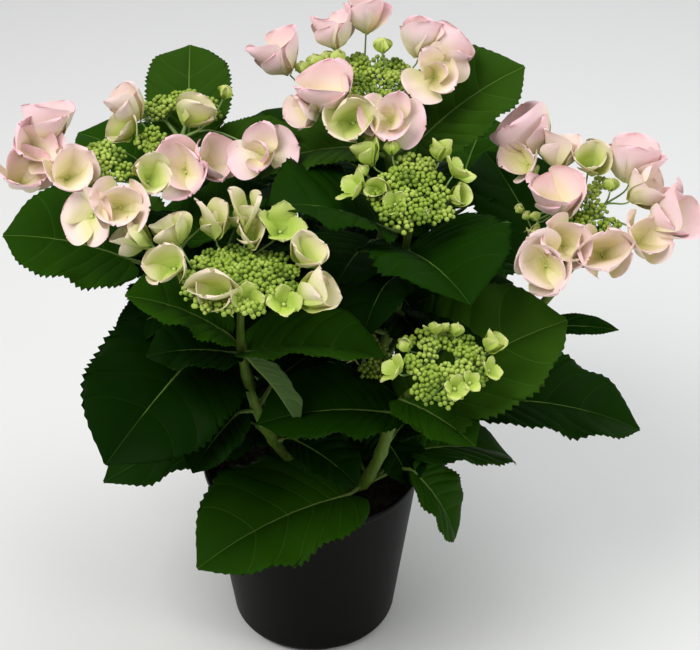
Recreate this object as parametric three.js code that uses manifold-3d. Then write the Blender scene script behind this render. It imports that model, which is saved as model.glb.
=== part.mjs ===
// A lacecap hydrangea in its nursery pot, in millimetres, +Z up.
// The origin is the middle of the pot's flat underside. The viewer stands at -Y.
//
// pot and compost      the container and what fills it
// crown_stem, cane_*   the woody stump and the canes that fork from it
// leaves_*             pairs of leaves, each pair one solid with a collar round its cane
// flowers_*            one solid for each lacecap head: a dome of buds with a lobe for each floret

import * as THREE from 'three';
import { mergeVertices } from 'three/addons/utils/BufferGeometryUtils.js';
import Module from 'manifold-3d';

const wasm = await Module();
wasm.setup();

// ---------------------------------------------------------------- driving sizes

const GAP = 0.3;

const pot = {
  rimRadius: 95, height: 167, wallTopRadius: 93, lipHeight: 7, lipDrop: 1.5, lipRound: 1.4,
  footRadius: 62, footRound: 10.5, wall: 1.8, floor: 2.4, sides: 22,
  drains: 4, drainBearing: -74, drainWidth: 30, drainHeight: 4.5, drainReach: 52, drainSides: 10,
};

const compost = { top: 150, shoulder: 5, middle: 56, bumpHeight: 1.6, bumpPitch: 17 };

const crown = {
  flareRadius: 21, flareHeight: 5, waistRadius: 14, waistFoot: 12, waistTop: 24,
  topRadius: 12, height: 30, sides: 8,
};

const limbMesh = { sides: 6, steps: 5 };

const leaf = {
  thickness: 3.2, petioleHalfWidth: 2.2,
  // share of the blade's length, and share of its half width there
  outline: [[0, 0.06], [0.12, 0.6], [0.42, 1], [0.78, 0.6], [1, 0]],
};

const collar = { wall: 2.6, clearance: 0.5, height: 8, sides: 5 };

const head = { sides: 7, hubRadius: 4.6, rimHeight: 0.82, floretSides: 5, floretHeight: 10, stalk: 6 };

const COLORS = {
  pot: 0x26282a, compost: 0x2e2018, crown: 0x6f5a3a, cane: 0x7c9a3c, flowers: 0xe6c9c6, leaf: 0x2f6a1c,
};

const degrees = (value) => value * Math.PI / 180;

// ---------------------------------------------------------------- solids

// A closed mesh as a solid that can be joined and cut.
function solidOf(geometry) {
  const bare = geometry.clone();
  for (const name of Object.keys(bare.attributes)) {
    if (name !== 'position') bare.deleteAttribute(name);
  }
  const merged = mergeVertices(bare, 1e-4);
  return new wasm.Manifold(new wasm.Mesh({
    numProp: 3,
    vertProperties: Float32Array.from(merged.attributes.position.array),
    triVerts: Uint32Array.from(merged.index.array),
  }));
}

function geometryOf(solid) {
  const mesh = solid.getMesh();
  const geometry = new THREE.BufferGeometry();
  geometry.setAttribute('position', new THREE.BufferAttribute(mesh.vertProperties, 3));
  geometry.setIndex(new THREE.BufferAttribute(mesh.triVerts, 1));
  geometry.computeVertexNormals();
  return geometry;
}

// A solid without its sealed hollows.
function filled(solid) {
  return solid.decompose().find((shell) => shell.volume() > 0);
}

// Moves every vertex of a geometry by a function of its place.
function reshape(geometry, place) {
  const position = geometry.attributes.position;
  const point = new THREE.Vector3();
  for (let i = 0; i < position.count; i += 1) {
    point.fromBufferAttribute(position, i);
    const moved = place(point.clone());
    position.setXYZ(i, moved.x, moved.y, moved.z);
  }
  return geometry;
}

// A turned shape: the profile runs from the bottom of the axis round the outside to the top.
function turned(profile, sides) {
  const geometry = new THREE.LatheGeometry(profile.map(([r, z]) => new THREE.Vector2(r, z)), sides);
  return geometry.rotateX(Math.PI / 2);
}

// ---------------------------------------------------------------- pot and compost

const innerFoot = { radius: pot.footRadius + pot.footRound - pot.wall, z: pot.footRound + pot.floor };
const innerTop = { radius: pot.wallTopRadius - pot.wall, z: pot.height };

// The radius inside the pot at a height.
function innerRadius(z) {
  return THREE.MathUtils.mapLinear(z, innerFoot.z, innerTop.z, innerFoot.radius, innerTop.radius);
}

function potSolid() {
  const outside = [[0, 0], [pot.footRadius, 0]];
  for (const turn of [30, 60, 90]) {
    outside.push([
      pot.footRadius + pot.footRound * Math.sin(degrees(turn)),
      pot.footRound * (1 - Math.cos(degrees(turn))),
    ]);
  }
  const lipFoot = pot.height - pot.lipHeight;
  outside.push([pot.wallTopRadius, lipFoot], [pot.rimRadius, lipFoot + pot.lipDrop]);
  outside.push([pot.rimRadius, pot.height - pot.lipDrop], [pot.rimRadius - pot.lipRound, pot.height]);
  const inside = [
    [innerTop.radius, innerTop.z],
    [innerFoot.radius, innerFoot.z],
    [pot.footRadius, pot.floor],
    [0, pot.floor],
  ];
  let shell = solidOf(turned([...outside, ...inside], pot.sides));
  for (let i = 0; i < pot.drains; i += 1) {
    const half = pot.drainWidth / 2;
    const drain = new THREE.CylinderGeometry(half, half, pot.rimRadius, pot.drainSides);
    drain.scale(1, 1, 2 * pot.drainHeight / pot.drainWidth);
    drain.translate(0, pot.drainReach + pot.rimRadius / 2, 0);
    drain.rotateZ(degrees(pot.drainBearing - 90 + i * 360 / pot.drains));
    shell = shell.subtract(solidOf(drain));
  }
  return shell;
}

function compostSolid() {
  const foot = pot.floor + GAP;
  const profile = [
    [0, foot],
    [pot.footRadius - GAP, foot],
    [innerFoot.radius - GAP, innerFoot.z + GAP],
    [innerRadius(compost.top - compost.shoulder) - GAP, compost.top - compost.shoulder],
    [innerRadius(compost.top) - 3, compost.top],
    [compost.middle, compost.top],
    [crown.flareRadius + 3, compost.top],
    [0, compost.top],
  ];
  const bump = (x, y) => Math.sin(x / compost.bumpPitch) * Math.cos(y / compost.bumpPitch + 1);
  const shape = reshape(turned(profile, pot.sides), (p) => {
    const away = Math.hypot(p.x, p.y);
    if (p.z > compost.top - 1 && away > crown.flareRadius + 5) {
      p.z += compost.bumpHeight * bump(p.x, p.y);
    }
    return p;
  });
  return solidOf(shape);
}

// ---------------------------------------------------------------- crown and canes

function crownSolid(extra = 0) {
  const foot = compost.top + GAP;
  const profile = [
    [0, foot - extra],
    [crown.flareRadius + extra, foot - extra],
    [crown.waistRadius + 2 + extra, foot + crown.flareHeight],
    [crown.waistRadius + extra, foot + crown.waistFoot],
    [crown.waistRadius + extra, foot + crown.waistTop],
    [crown.topRadius + extra, foot + crown.height + extra],
    [0, foot + crown.height + extra],
  ];
  return solidOf(turned(profile, crown.sides));
}

// A limb: a turned taper bent along a curve. extra thickens it, for cutting clearance.
function limb(route, footRadius, tipRadius, extra = 0) {
  const curve = new THREE.CatmullRomCurve3(route.map(([x, y, z]) => new THREE.Vector3(x, y, z)));
  const steps = limbMesh.steps;
  const frames = curve.computeFrenetFrames(steps);
  const profile = [[0, 0]];
  for (let i = 0; i <= steps; i += 1) {
    profile.push([THREE.MathUtils.lerp(footRadius, tipRadius, i / steps) + extra, i]);
  }
  profile.push([0, steps]);
  const shape = reshape(turned(profile, limbMesh.sides), (p) => {
    const i = Math.round(p.z);
    return curve.getPointAt(i / steps)
      .addScaledVector(frames.normals[i], p.x)
      .addScaledVector(frames.binormals[i], p.y)
      .addScaledVector(frames.tangents[i], extra * (i === steps ? 1 : 0));
  });
  return solidOf(shape);
}

// Each cane: its route from inside the crown to its tip, and its radius at foot and tip.
const canes = {
  far_left: {
    foot: 5.2,
    tip: 3.0,
    route: [[-11, -1, 172], [-34, -8, 218], [-70, -14, 290], [-112, -16, 368], [-158, -16, 445]],
  },
  back_left: {
    foot: 4.8,
    tip: 2.8,
    route: [[-7, 9, 174], [-44, 30, 230], [-84, 60, 330], [-101, 74, 395], [-106, 82, 432]],
  },
  front_left: {
    foot: 4.8,
    tip: 3.0,
    route: [[-6, -10, 162], [-30, -48, 220], [-46, -82, 300], [-50, -96, 350], [-48, -108, 402]],
  },
  top: {
    foot: 4.8,
    tip: 3.0,
    route: [[5, 10, 176], [32, 42, 235], [56, 64, 330], [65, 66, 415], [50, 82, 468]],
  },
  centre: {
    foot: 4.8,
    tip: 3.0,
    route: [[11, 0, 178], [40, 4, 232], [68, 0, 310], [76, -5, 372], [80, -10, 425]],
  },
  right: {
    foot: 5.0,
    tip: 3.0,
    route: [[12, -2, 160], [60, 12, 200], [130, 14, 258], [192, 8, 320], [222, 14, 398]],
  },
  front_right: {
    foot: 5.4,
    tip: 4.2,
    route: [[8, -9, 158], [40, -46, 172], [58, -68, 226], [72, -88, 290], [98, -120, 334]],
  },
  inner: {
    foot: 3.6,
    tip: 2.6,
    route: [[5, -10, 178], [20, -26, 215], [36, -38, 258], [44, -46, 296]],
  },
  back_right: {
    foot: 4.4,
    tip: 1.6,
    route: [[8, 11, 160], [50, 60, 205], [100, 112, 260], [124, 150, 330]],
  },
  back: {
    foot: 4.4,
    tip: 1.6,
    route: [[0, 12, 162], [-4, 70, 215], [-8, 130, 290], [-16, 158, 365]],
  },
  low_left: {
    foot: 4.2,
    tip: 1.6,
    route: [[-10, 6, 160], [-55, 40, 190], [-105, 78, 232], [-140, 100, 290]],
  },
};

// ---------------------------------------------------------------- flower heads

// Each head: the way its face leans, its dome of buds, and its florets as
// [clock bearing, reach from the hub, lift above the hub, radius].
const heads = {
  far_left: {
    lean: [250, 22],
    dome: [34, 22],
    florets: [[138, 42, 30, 21], [164, 53, 22, 20], [189, 54, 14, 20], [219, 26, 16, 20],
      [288, 43, 4, 24], [336, 51, 8, 19]],
  },
  back_left: {
    lean: [250, 18],
    dome: [38, 22],
    florets: [[176, 36, 22, 23], [318, 26, 22, 16], [289, 59, -2, 26], [324, 84, 6, 25], [20, 44, 14, 12]],
  },
  front_left: {
    lean: [275, 12],
    dome: [48, 20],
    florets: [[151, 62, 14, 19], [168, 52, 4, 20], [114, 48, 24, 20], [93, 47, 32, 21], [51, 46, 20, 19],
      [22, 53, 10, 20], [351, 58, 0, 23], [196, 42, -6, 20]],
  },
  top: {
    lean: [265, 12],
    dome: [36, 22],
    florets: [[168, 74, 16, 23], [135, 42, 28, 24], [96, 46, 34, 24], [22, 59, 28, 26], [351, 51, 10, 22],
      [214, 42, 10, 22], [250, 45, -6, 21], [291, 44, -8, 22]],
  },
  centre: {
    lean: [270, 14],
    dome: [42, 17],
    florets: [[180, 50, 4, 13], [132, 46, 8, 12], [20, 43, 6, 12]],
  },
  right: {
    lean: [265, 14],
    dome: [36, 20],
    florets: [[127, 76, 26, 25], [118, 50, 26, 22], [184, 34, 6, 22], [239, 57, -8, 24], [283, 44, -8, 24],
      [24, 48, 22, 25], [335, 64, 8, 25], [312, 42, 0, 20]],
  },
  front_right: {
    lean: [275, 16],
    dome: [43, 14],
    florets: [[187, 38, 6, 13], [22, 42, 6, 13]],
  },
  inner: {
    lean: [230, 20],
    dome: [20, 9],
    florets: [[200, 16, 5, 8]],
  },
};

// The tip of a cane, and the head's own axes there: its face leans towards a bearing.
function headFrame(name) {
  const tip = new THREE.Vector3(...canes[name].route.at(-1));
  const [bearing, tilt] = heads[name].lean.map(degrees);
  const axis = new THREE.Vector3(-Math.sin(bearing), Math.cos(bearing), 0);
  const leaning = new THREE.Matrix4().makeRotationAxis(axis, tilt);
  return new THREE.Matrix4().makeTranslation(tip).multiply(leaning);
}

function headSolid(name) {
  const { dome: [radius, rise], florets } = heads[name];
  const rim = rise * head.rimHeight;
  const profile = [
    [0, 0], [head.hubRadius, 0], [radius * 0.4, rise * 0.5], [radius, rim],
    [radius * 0.7, rise * 1.4], [0, rise * 1.6],
  ];
  let solid = solidOf(turned(profile, head.sides));
  for (const [clock, reach, lift, size] of florets) {
    // a lobe as deep as its floret is raised, and a stalk where it would hang clear of the dome
    const half = head.floretHeight + Math.abs(lift) / 2;
    const lobe = turned([[0, -half], [size, 0], [0, half]], head.floretSides);
    const pieces = [lobe.translate(reach, 0, rim + lift / 2)];
    if (reach - size > radius - head.stalk) {
      const length = reach - radius / 2;
      const stalk = new THREE.BoxGeometry(length, head.stalk, head.stalk);
      pieces.push(stalk.translate(radius / 2 + length / 2, 0, rim));
    }
    for (const piece of pieces) solid = solid.add(solidOf(piece.rotateZ(degrees(clock))));
  }
  return filled(solid).transform(headFrame(name).toArray());
}

// ---------------------------------------------------------------- leaves

// The blade's frame: along it from base to tip, across it, and out of its upper face.
function bladeAxes(bearing, rise, roll) {
  const [b, r] = [degrees(bearing), degrees(rise)];
  const along = new THREE.Vector3(Math.cos(b) * Math.cos(r), Math.sin(b) * Math.cos(r), Math.sin(r));
  const across = new THREE.Vector3(-Math.sin(b), Math.cos(b), 0);
  across.applyAxisAngle(along, degrees(roll));
  return { along, across, out: new THREE.Vector3().crossVectors(along, across) };
}

// Where a leaf's petiole leaves its cane, and where its blade begins.
function petioleEnds(joint, spec, swing) {
  const { petiole = 24, lift = 30 } = spec;
  const stalk = bladeAxes(spec.bearing + swing, lift, 0).along;
  const outward = stalk.clone().addScaledVector(joint.along, -stalk.dot(joint.along)).normalize();
  const reach = joint.radius + collar.clearance + collar.wall / 2;
  const root = joint.node.clone().addScaledVector(outward, reach);
  return { root, base: root.clone().addScaledVector(stalk, petiole) };
}

// One leaf: a thin blade, folded along its midrib and arched from base to tip, on its petiole.
// Its section is a flat diamond. extra thickens it for clearance, bare leaves the petiole out.
function leafSolid(joint, spec, turn, extra = 0, bare = false) {
  const { bearing, rise, length, width, roll = 0, arch = 0.08, fold = 14 } = spec;
  const { root, base } = petioleEnds(joint, spec, turn.swing);
  const { along, across, out } = bladeAxes(bearing + turn.swing, rise + turn.tip, roll + turn.roll);
  const stations = leaf.outline;
  const last = stations.length - 1;
  const shape = new THREE.CylinderGeometry(0, 1, last + 1, 4, last + 1);
  reshape(shape, (p) => {
    const i = Math.round(p.y + (last + 1) / 2) - 1;
    const side = Math.sign(Math.round(10 * p.x));
    const face = Math.sign(Math.round(10 * p.z)) * (leaf.thickness / 2 + extra);
    if (i < 0) {
      const start = bare ? base.clone().addScaledVector(along, -extra) : root.clone();
      return start.addScaledVector(across, -side * (leaf.petioleHalfWidth + extra))
        .addScaledVector(out, face);
    }
    const [share, spread] = stations[i];
    const half = Math.max(spread * width / 2, leaf.petioleHalfWidth) + extra;
    const crest = arch * length * 4 * share * (1 - share);
    const raised = crest + Math.abs(side) * half * Math.sin(degrees(fold));
    return base.clone().addScaledVector(along, share * length + (i === last ? extra : 0))
      .addScaledVector(across, -side * half * Math.cos(degrees(fold)))
      .addScaledVector(out, raised + face);
  });
  return solidOf(shape);
}

// The pairs of leaves up each cane: the height of the joint, then each leaf as
// [bearing, rise, length, width] and what else sets it apart.
const tiers = {
  far_left: [
    [372, [182, 14, 114, 100, { roll: -14 }], [40, 12, 84, 66]],
    [297, [241, -10, 140, 138, { roll: -20 }], [75, 4, 104, 84]],
    [205, [199, -10, 140, 96, { petiole: 12 }], [60, -6, 92, 76]],
  ],
  front_right: [
    [288, [14, 26, 136, 116, { petiole: 14, roll: 12 }], [188, 0, 86, 90, { petiole: 14, lift: 4 }],
      [322, -10, 56, 46, { petiole: 12, lift: 0 }]],
    [176, [208, -10, 140, 118, { petiole: 22, lift: 6 }], [27, -24, 108, 80],
      [344, -60, 74, 46, { petiole: 44, lift: 24 }]],
  ],
  front_left: [
    [350, [354, -4, 106, 84, { fold: 28, petiole: 16 }], [186, 28, 88, 78, { petiole: 18 }]],
    [318, [190, 4, 76, 66], [110, 0, 70, 60]],
    [272, [40, -8, 84, 70], [236, -20, 60, 50]],
    [222, [328, -20, 66, 54, { petiole: 16 }], [150, -8, 76, 60, { petiole: 16 }]],
  ],
  centre: [
    [398, [206, 22, 80, 84, { petiole: 14 }], [72, 0, 70, 56]],
    [366, [297, 4, 108, 138, { petiole: 10, fold: 26 }], [84, -12, 64, 52]],
    [296, [22, 6, 88, 76], [204, 6, 76, 66]],
  ],
  right: [
    [338, [118, 30, 116, 92, { petiole: 14 }], [40, 0, 60, 44]],
    [284, [356, 2, 84, 34, { petiole: 20, roll: 20 }], [170, 10, 84, 74]],
    [224, [356, -10, 140, 100, { petiole: 50, lift: 4 }], [78, -10, 108, 88]],
    [190, [290, -18, 62, 50], [100, -4, 70, 56]],
  ],
  top: [
    [424, [16, 32, 116, 104, { roll: 16 }], [192, -10, 100, 86]],
    [346, [96, 8, 118, 94], [262, 4, 92, 78]],
    [262, [40, -6, 116, 92], [160, 2, 84, 70]],
  ],
  back_left: [
    [412, [92, 30, 98, 76], [350, 18, 74, 40, { roll: 30 }]],
    [380, [150, 14, 92, 78], [24, 8, 104, 66]],
    [316, [170, -6, 118, 92], [70, 2, 112, 88]],
    [232, [150, -14, 110, 90], [320, -4, 70, 60, { petiole: 14 }]],
  ],
  inner: [
    [222, [100, 4, 60, 48]],
  ],
  back_right: [
    [322, [70, 20, 92, 72], [250, 24, 60, 50]],
    [270, [10, 0, 110, 86], [160, 6, 96, 80]],
    [218, [60, -14, 112, 88], [310, -10, 70, 60]],
  ],
  back: [
    [340, [96, 10, 92, 74], [270, 26, 56, 46]],
    [300, [20, 2, 96, 80], [170, 4, 104, 86]],
    [236, [96, -16, 116, 92]],
  ],
  low_left: [
    [282, [120, 14, 92, 74], [285, -4, 84, 68]],
    [228, [140, -16, 104, 84], [50, -8, 90, 74]],
  ],
};

// ---------------------------------------------------------------- assembly

const placed = [];

function place(name, solid) {
  placed.push({ name, solid, box: solid.boundingBox() });
}

// Whether a solid meets any placed one that a test picks out by name.
function meets(solid, test) {
  const reach = solid.boundingBox();
  return placed.some(({ name, solid: other, box }) => {
    if (!test(name)) return false;
    for (let axis = 0; axis < 3; axis += 1) {
      if (reach.min[axis] > box.max[axis] || box.min[axis] > reach.max[axis]) return false;
    }
    return solid.intersect(other).volume() > 0;
  });
}

// The joint at a height on a cane: its place, the cane's direction there and its radius.
function jointAt(name, height) {
  const { route, foot, tip } = canes[name];
  const curve = new THREE.CatmullRomCurve3(route.map(([x, y, z]) => new THREE.Vector3(x, y, z)));
  let share = 0;
  while (share < 1 && curve.getPointAt(share).z < height) share += 0.002;
  share = Math.min(share, 1);
  const radius = THREE.MathUtils.lerp(foot, tip, share);
  return { node: curve.getPointAt(share), along: curve.getTangentAt(share), radius };
}

// A short prism round a cane at one of its joints.
function sleeve(joint, radius, length) {
  const shape = new THREE.CylinderGeometry(radius, radius, length, collar.sides);
  shape.applyQuaternion(new THREE.Quaternion().setFromUnitVectors(new THREE.Vector3(0, 1, 0), joint.along));
  return solidOf(shape.translate(joint.node.x, joint.node.y, joint.node.z));
}

// The turns a leaf may take to clear its neighbours, the smallest first.
const turns = [];
for (const swing of [0, -6, 6, -12, 12, -20, 20, -30, 30, -45, 45]) {
  for (const tip of [0, -5, 5, -10, 10, -16, 16, -24, 24]) {
    for (const roll of [0, -8, 8]) {
      turns.push({ swing, tip, roll, cost: Math.abs(swing) * 0.6 + Math.abs(tip) + Math.abs(roll) * 0.7 });
    }
  }
}
turns.sort((one, other) => one.cost - other.cost);

const group = new THREE.Group();

function addMesh(name, solid, color, roughness) {
  const material = new THREE.MeshStandardMaterial({ color, roughness, metalness: 0 });
  const mesh = new THREE.Mesh(geometryOf(solid), material);
  mesh.name = name;
  group.add(mesh);
}

const potWhole = potSolid();
const compostWhole = compostSolid();
addMesh('pot', potWhole, COLORS.pot, 0.55);
place('pot', potWhole);
addMesh('compost', compostWhole, COLORS.compost, 0.95);
place('compost', compostWhole);
addMesh('crown_stem', crownSolid(), COLORS.crown, 0.85);
place('crown_stem', crownSolid());

for (const [name, { route, foot, tip }] of Object.entries(canes)) {
  addMesh(`cane_${name}`, limb(route, foot, tip).subtract(crownSolid(GAP)), COLORS.cane, 0.6);
  place(`cane_${name}`, limb(route, foot, tip, GAP).subtract(crownSolid(GAP)));
}
for (const name of Object.keys(heads)) {
  const { route, foot, tip } = canes[name];
  const whole = headSolid(name).subtract(limb(route, foot, tip, GAP));
  addMesh(`flowers_${name}`, whole, COLORS.flowers, 0.5);
  place(`flowers_${name}`, whole);
}

for (const [name, joints] of Object.entries(tiers)) {
  const { route, foot, tip } = canes[name];
  const ownCane = `cane_${name}`;
  joints.forEach(([height, ...leaves], order) => {
    const tier = `leaves_${name}_${order + 1}`;
    const joint = jointAt(name, height);
    const bore = (joint.radius + collar.clearance) / Math.cos(Math.PI / collar.sides);
    const outsiders = (other) => other !== ownCane && other !== tier;
    const family = (other) => other === ownCane || other === tier;
    const placedBefore = placed.length;
    let whole = sleeve(joint, bore + collar.wall, collar.height);
    for (const [bearing, rise, length, width, more = {}] of leaves) {
      const spec = { bearing, rise, length, width, ...more };
      const turn = turns.find((each) => !meets(leafSolid(joint, spec, each, GAP), outsiders)
        && !meets(leafSolid(joint, spec, each, GAP, true), family));
      const blade = leafSolid(joint, spec, turn);
      whole = whole.add(blade);
      place(tier, blade);
    }
    placed.length = placedBefore;
    whole = whole.subtract(sleeve(joint, bore, 4 * collar.height));
    const cane = limb(route, foot, tip, GAP);
    if (whole.intersect(cane).volume() > 0) whole = whole.subtract(cane);
    addMesh(tier, whole, COLORS.leaf, 0.5);
    place(tier, whole);
  });
}

export default group;
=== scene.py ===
"""A potted lacecap hydrangea, dressed on its CAD frame. Metres, +Z up, the viewer at -Y."""

import math

import bpy
import numpy as np
from mathutils import Matrix, Vector, noise
from numpy.linalg import norm


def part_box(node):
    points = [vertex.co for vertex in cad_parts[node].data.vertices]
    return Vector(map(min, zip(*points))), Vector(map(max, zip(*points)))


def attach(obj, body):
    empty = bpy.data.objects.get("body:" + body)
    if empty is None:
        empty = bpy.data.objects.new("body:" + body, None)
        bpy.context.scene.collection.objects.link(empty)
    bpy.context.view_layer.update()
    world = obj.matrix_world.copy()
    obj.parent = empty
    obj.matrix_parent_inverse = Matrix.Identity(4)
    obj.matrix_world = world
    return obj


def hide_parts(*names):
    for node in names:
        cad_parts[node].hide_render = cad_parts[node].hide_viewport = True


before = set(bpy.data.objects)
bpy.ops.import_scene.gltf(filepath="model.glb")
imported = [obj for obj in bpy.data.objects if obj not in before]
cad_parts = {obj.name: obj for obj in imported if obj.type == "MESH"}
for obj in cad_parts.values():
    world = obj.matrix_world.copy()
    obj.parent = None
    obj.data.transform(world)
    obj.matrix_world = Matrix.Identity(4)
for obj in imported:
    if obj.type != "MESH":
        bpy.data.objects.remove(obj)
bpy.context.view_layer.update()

SEED = 23
MM = 0.001

# ------------------------------------------------------------------ nodes


class Value:
    """A node's socket that numbers and other sockets can be reckoned with."""

    def __init__(self, nodes, socket):
        self.nodes = nodes
        self.socket = socket

    def reckon(self, operation, one, other):
        return self.nodes.node("ShaderNodeMath", {"operation": operation}, [one, other])

    def __add__(self, other):
        return self.reckon("ADD", self, other)

    __radd__ = __add__

    def __sub__(self, other):
        return self.reckon("SUBTRACT", self, other)

    def __rsub__(self, other):
        return self.reckon("SUBTRACT", other, self)

    def __mul__(self, other):
        return self.reckon("MULTIPLY", self, other)

    __rmul__ = __mul__


class Nodes:
    """What shader trees and geometry trees share: one method that adds a node to self.tree."""

    def feed(self, socket, value):
        value = getattr(value, "socket", value)
        if isinstance(value, bpy.types.NodeSocket):
            self.tree.links.new(value, socket)
        else:
            socket.default_value = value

    def node(self, kind, settings=None, sockets=(), output=0):
        """A node of a kind: its settings first, then its sockets by place or by name."""
        made = self.tree.nodes.new(kind)
        for key, value in (settings or {}).items():
            if key == "stops":
                ramp = made.color_ramp
                while len(ramp.elements) < len(value):
                    ramp.elements.new(1.0)
                for stop, (place, colour) in zip(ramp.elements, value):
                    stop.position = place
                    stop.color = (*colour, 1)
            else:
                setattr(made, key, value)
        for key, value in sockets.items() if isinstance(sockets, dict) else enumerate(sockets):
            self.feed(made.inputs[key], value)
        return Value(self, made.outputs[output])


class Paint(Nodes):
    """One procedural material; skin() sets its surface."""

    def __init__(self, name):
        self.material = bpy.data.materials.new(name)
        self.material.use_nodes = True
        self.tree = self.material.node_tree
        self.surface = self.tree.nodes["Principled BSDF"]

    def place(self, scale=(1, 1, 1)):
        """Object coordinates, stretched by a scale."""
        where = self.node("ShaderNodeTexCoord", output="Object")
        return self.node("ShaderNodeMapping", sockets={"Vector": where, "Scale": scale})

    def cloud(self, where, scale, detail=3.0, roughness=0.5):
        return self.node("ShaderNodeTexNoise", sockets={
            "Vector": where, "Scale": scale, "Detail": detail, "Roughness": roughness})

    def ramp(self, value, *stops):
        return self.node("ShaderNodeValToRGB", {"stops": stops}, [value])

    def mix(self, amount, low, high):
        return self.node("ShaderNodeMix", {"data_type": "RGBA"}, {"Factor": amount, 6: low, 7: high}, 2)

    def bump(self, height, strength, distance):
        return self.node("ShaderNodeBump", sockets={
            "Height": height, "Strength": strength, "Distance": distance})

    def skin(self, **sockets):
        for key, value in sockets.items():
            self.feed(self.surface.inputs[key.replace("_", " ")], value)
        return self.material


class Tree(Nodes):
    """A Geometry Nodes tree, with named inputs."""

    def __init__(self, name, inputs):
        self.tree = bpy.data.node_groups.new(name, "GeometryNodeTree")
        sides = self.tree.interface
        sockets = {"Geometry": ("Geometry", None), **inputs, "Material": ("Material", None)}
        for title, (kind, value) in sockets.items():
            socket = sides.new_socket(title, in_out="INPUT", socket_type=f"NodeSocket{kind}")
            if value is not None:
                socket.default_value = value
        sides.new_socket("Geometry", in_out="OUTPUT", socket_type="NodeSocketGeometry")
        self.inlet = self.tree.nodes.new("NodeGroupInput")
        self.outlet = self.tree.nodes.new("NodeGroupOutput")

    def given(self, title):
        return Value(self, self.inlet.outputs[title])

    def named(self, attribute):
        return self.node("GeometryNodeInputNamedAttribute", {"data_type": "FLOAT"}, {"Name": attribute})

    def finish(self, geometry):
        flat = self.node("GeometryNodeRealizeInstances", sockets=[geometry])
        done = self.node("GeometryNodeSetMaterial", sockets={
            "Geometry": flat, "Material": self.given("Material")})
        self.feed(self.outlet.inputs["Geometry"], done)
        return self.tree


# ------------------------------------------------------------------ materials


def plain(name, colour, roughness=0.5, specular=0.5, soft=0.0):
    """A plain base colour, with its gloss and its softness to light."""
    paint = Paint(name)
    if soft:
        paint.skin(Subsurface_Weight=soft, Subsurface_Radius=(0.003, 0.002, 0.0015), Subsurface_Scale=1.0)
    return paint.skin(Base_Color=(*colour, 1), Roughness=roughness, Specular_IOR_Level=specular)


# Leaf greens, each with its side veins and its midrib: one green in lit and shaded copies, painted shade and
# light, the darkest copies for leaves in shade and the lightest for the upper leaves in the light.
LEAF_TONES = {
    "deep": ((0.0028, 0.0150, 0.0004), (0.0054, 0.0230, 0.0009), (0.014, 0.041, 0.003)),
    "dark": ((0.0056, 0.0265, 0.0004), (0.0115, 0.0430, 0.0014), (0.026, 0.070, 0.006)),
    "mid": ((0.0128, 0.0480, 0.0012), (0.0330, 0.0920, 0.0070), (0.070, 0.140, 0.018)),
    "fresh": ((0.0220, 0.0620, 0.0036), (0.0440, 0.1040, 0.0110), (0.090, 0.165, 0.028)),
}
leaf_paint = {}
for tone, (blade, vein, rib) in LEAF_TONES.items():
    leaf_paint[tone] = plain(f"leaf_{tone}", blade, 0.5, specular=0.02)
    leaf_paint[tone + "_vein"] = plain(f"leaf_{tone}_vein", vein, 0.55, specular=0.03)
    leaf_paint[tone + "_rib"] = plain(f"leaf_{tone}_rib", rib, 0.55, specular=0.05)
leaf_paint["under"] = plain("leaf_under", (0.060, 0.110, 0.030), 0.62, specular=0.08)
leaf_paint["under_vein"] = plain("leaf_under_vein", (0.12, 0.19, 0.06), 0.6, specular=0.08)

# Sepal colours from the claw to the rim, for each kind of floret.
SEPAL_TONES = {
    "pink": [(0.67, 0.65, 0.27), (0.83, 0.73, 0.50), (0.89, 0.73, 0.65), (0.91, 0.68, 0.68),
             (0.91, 0.63, 0.66), (0.89, 0.54, 0.60)],
    "blush": [(0.63, 0.64, 0.23), (0.79, 0.72, 0.40), (0.87, 0.75, 0.55), (0.90, 0.74, 0.63),
              (0.90, 0.70, 0.65), (0.89, 0.62, 0.62)],
    "cream": [(0.37, 0.50, 0.09), (0.48, 0.57, 0.14), (0.60, 0.63, 0.23), (0.70, 0.67, 0.35),
              (0.76, 0.68, 0.45), (0.79, 0.64, 0.50)],
    "lime": [(0.29, 0.41, 0.05), (0.37, 0.50, 0.07), (0.44, 0.56, 0.10), (0.50, 0.60, 0.14),
             (0.55, 0.62, 0.19), (0.60, 0.61, 0.25)],
}
SEPAL_STEPS = 10            # plain colours from claw to rim
sepal_paint = []
for kind, tones in SEPAL_TONES.items():
    knots = np.linspace(0, 1, len(tones))
    for step, share in enumerate(np.linspace(0, 1, SEPAL_STEPS)):
        colour = [float(np.interp(share, knots, channel)) for channel in zip(*tones)]
        sepal_paint.append(plain(f"sepal_{kind}_{step + 1}", colour, 0.55, specular=0.25, soft=0.12))

BUD_TONES = {
    "bud_green": (0.265, 0.375, 0.042), "bud_pale": (0.37, 0.48, 0.082), "bud_deep": (0.15, 0.24, 0.020)}
bud_paint = {tone: plain(tone, colour, 0.45, specular=0.3) for tone, colour in BUD_TONES.items()}
bud_paint["floret_eye"] = plain("floret_eye", (0.55, 0.62, 0.20))
pedicel_green = plain("pedicel_green", (0.20, 0.31, 0.08), 0.55)
petiole_green = plain("petiole_green", (0.100, 0.165, 0.030), specular=0.15)


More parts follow.
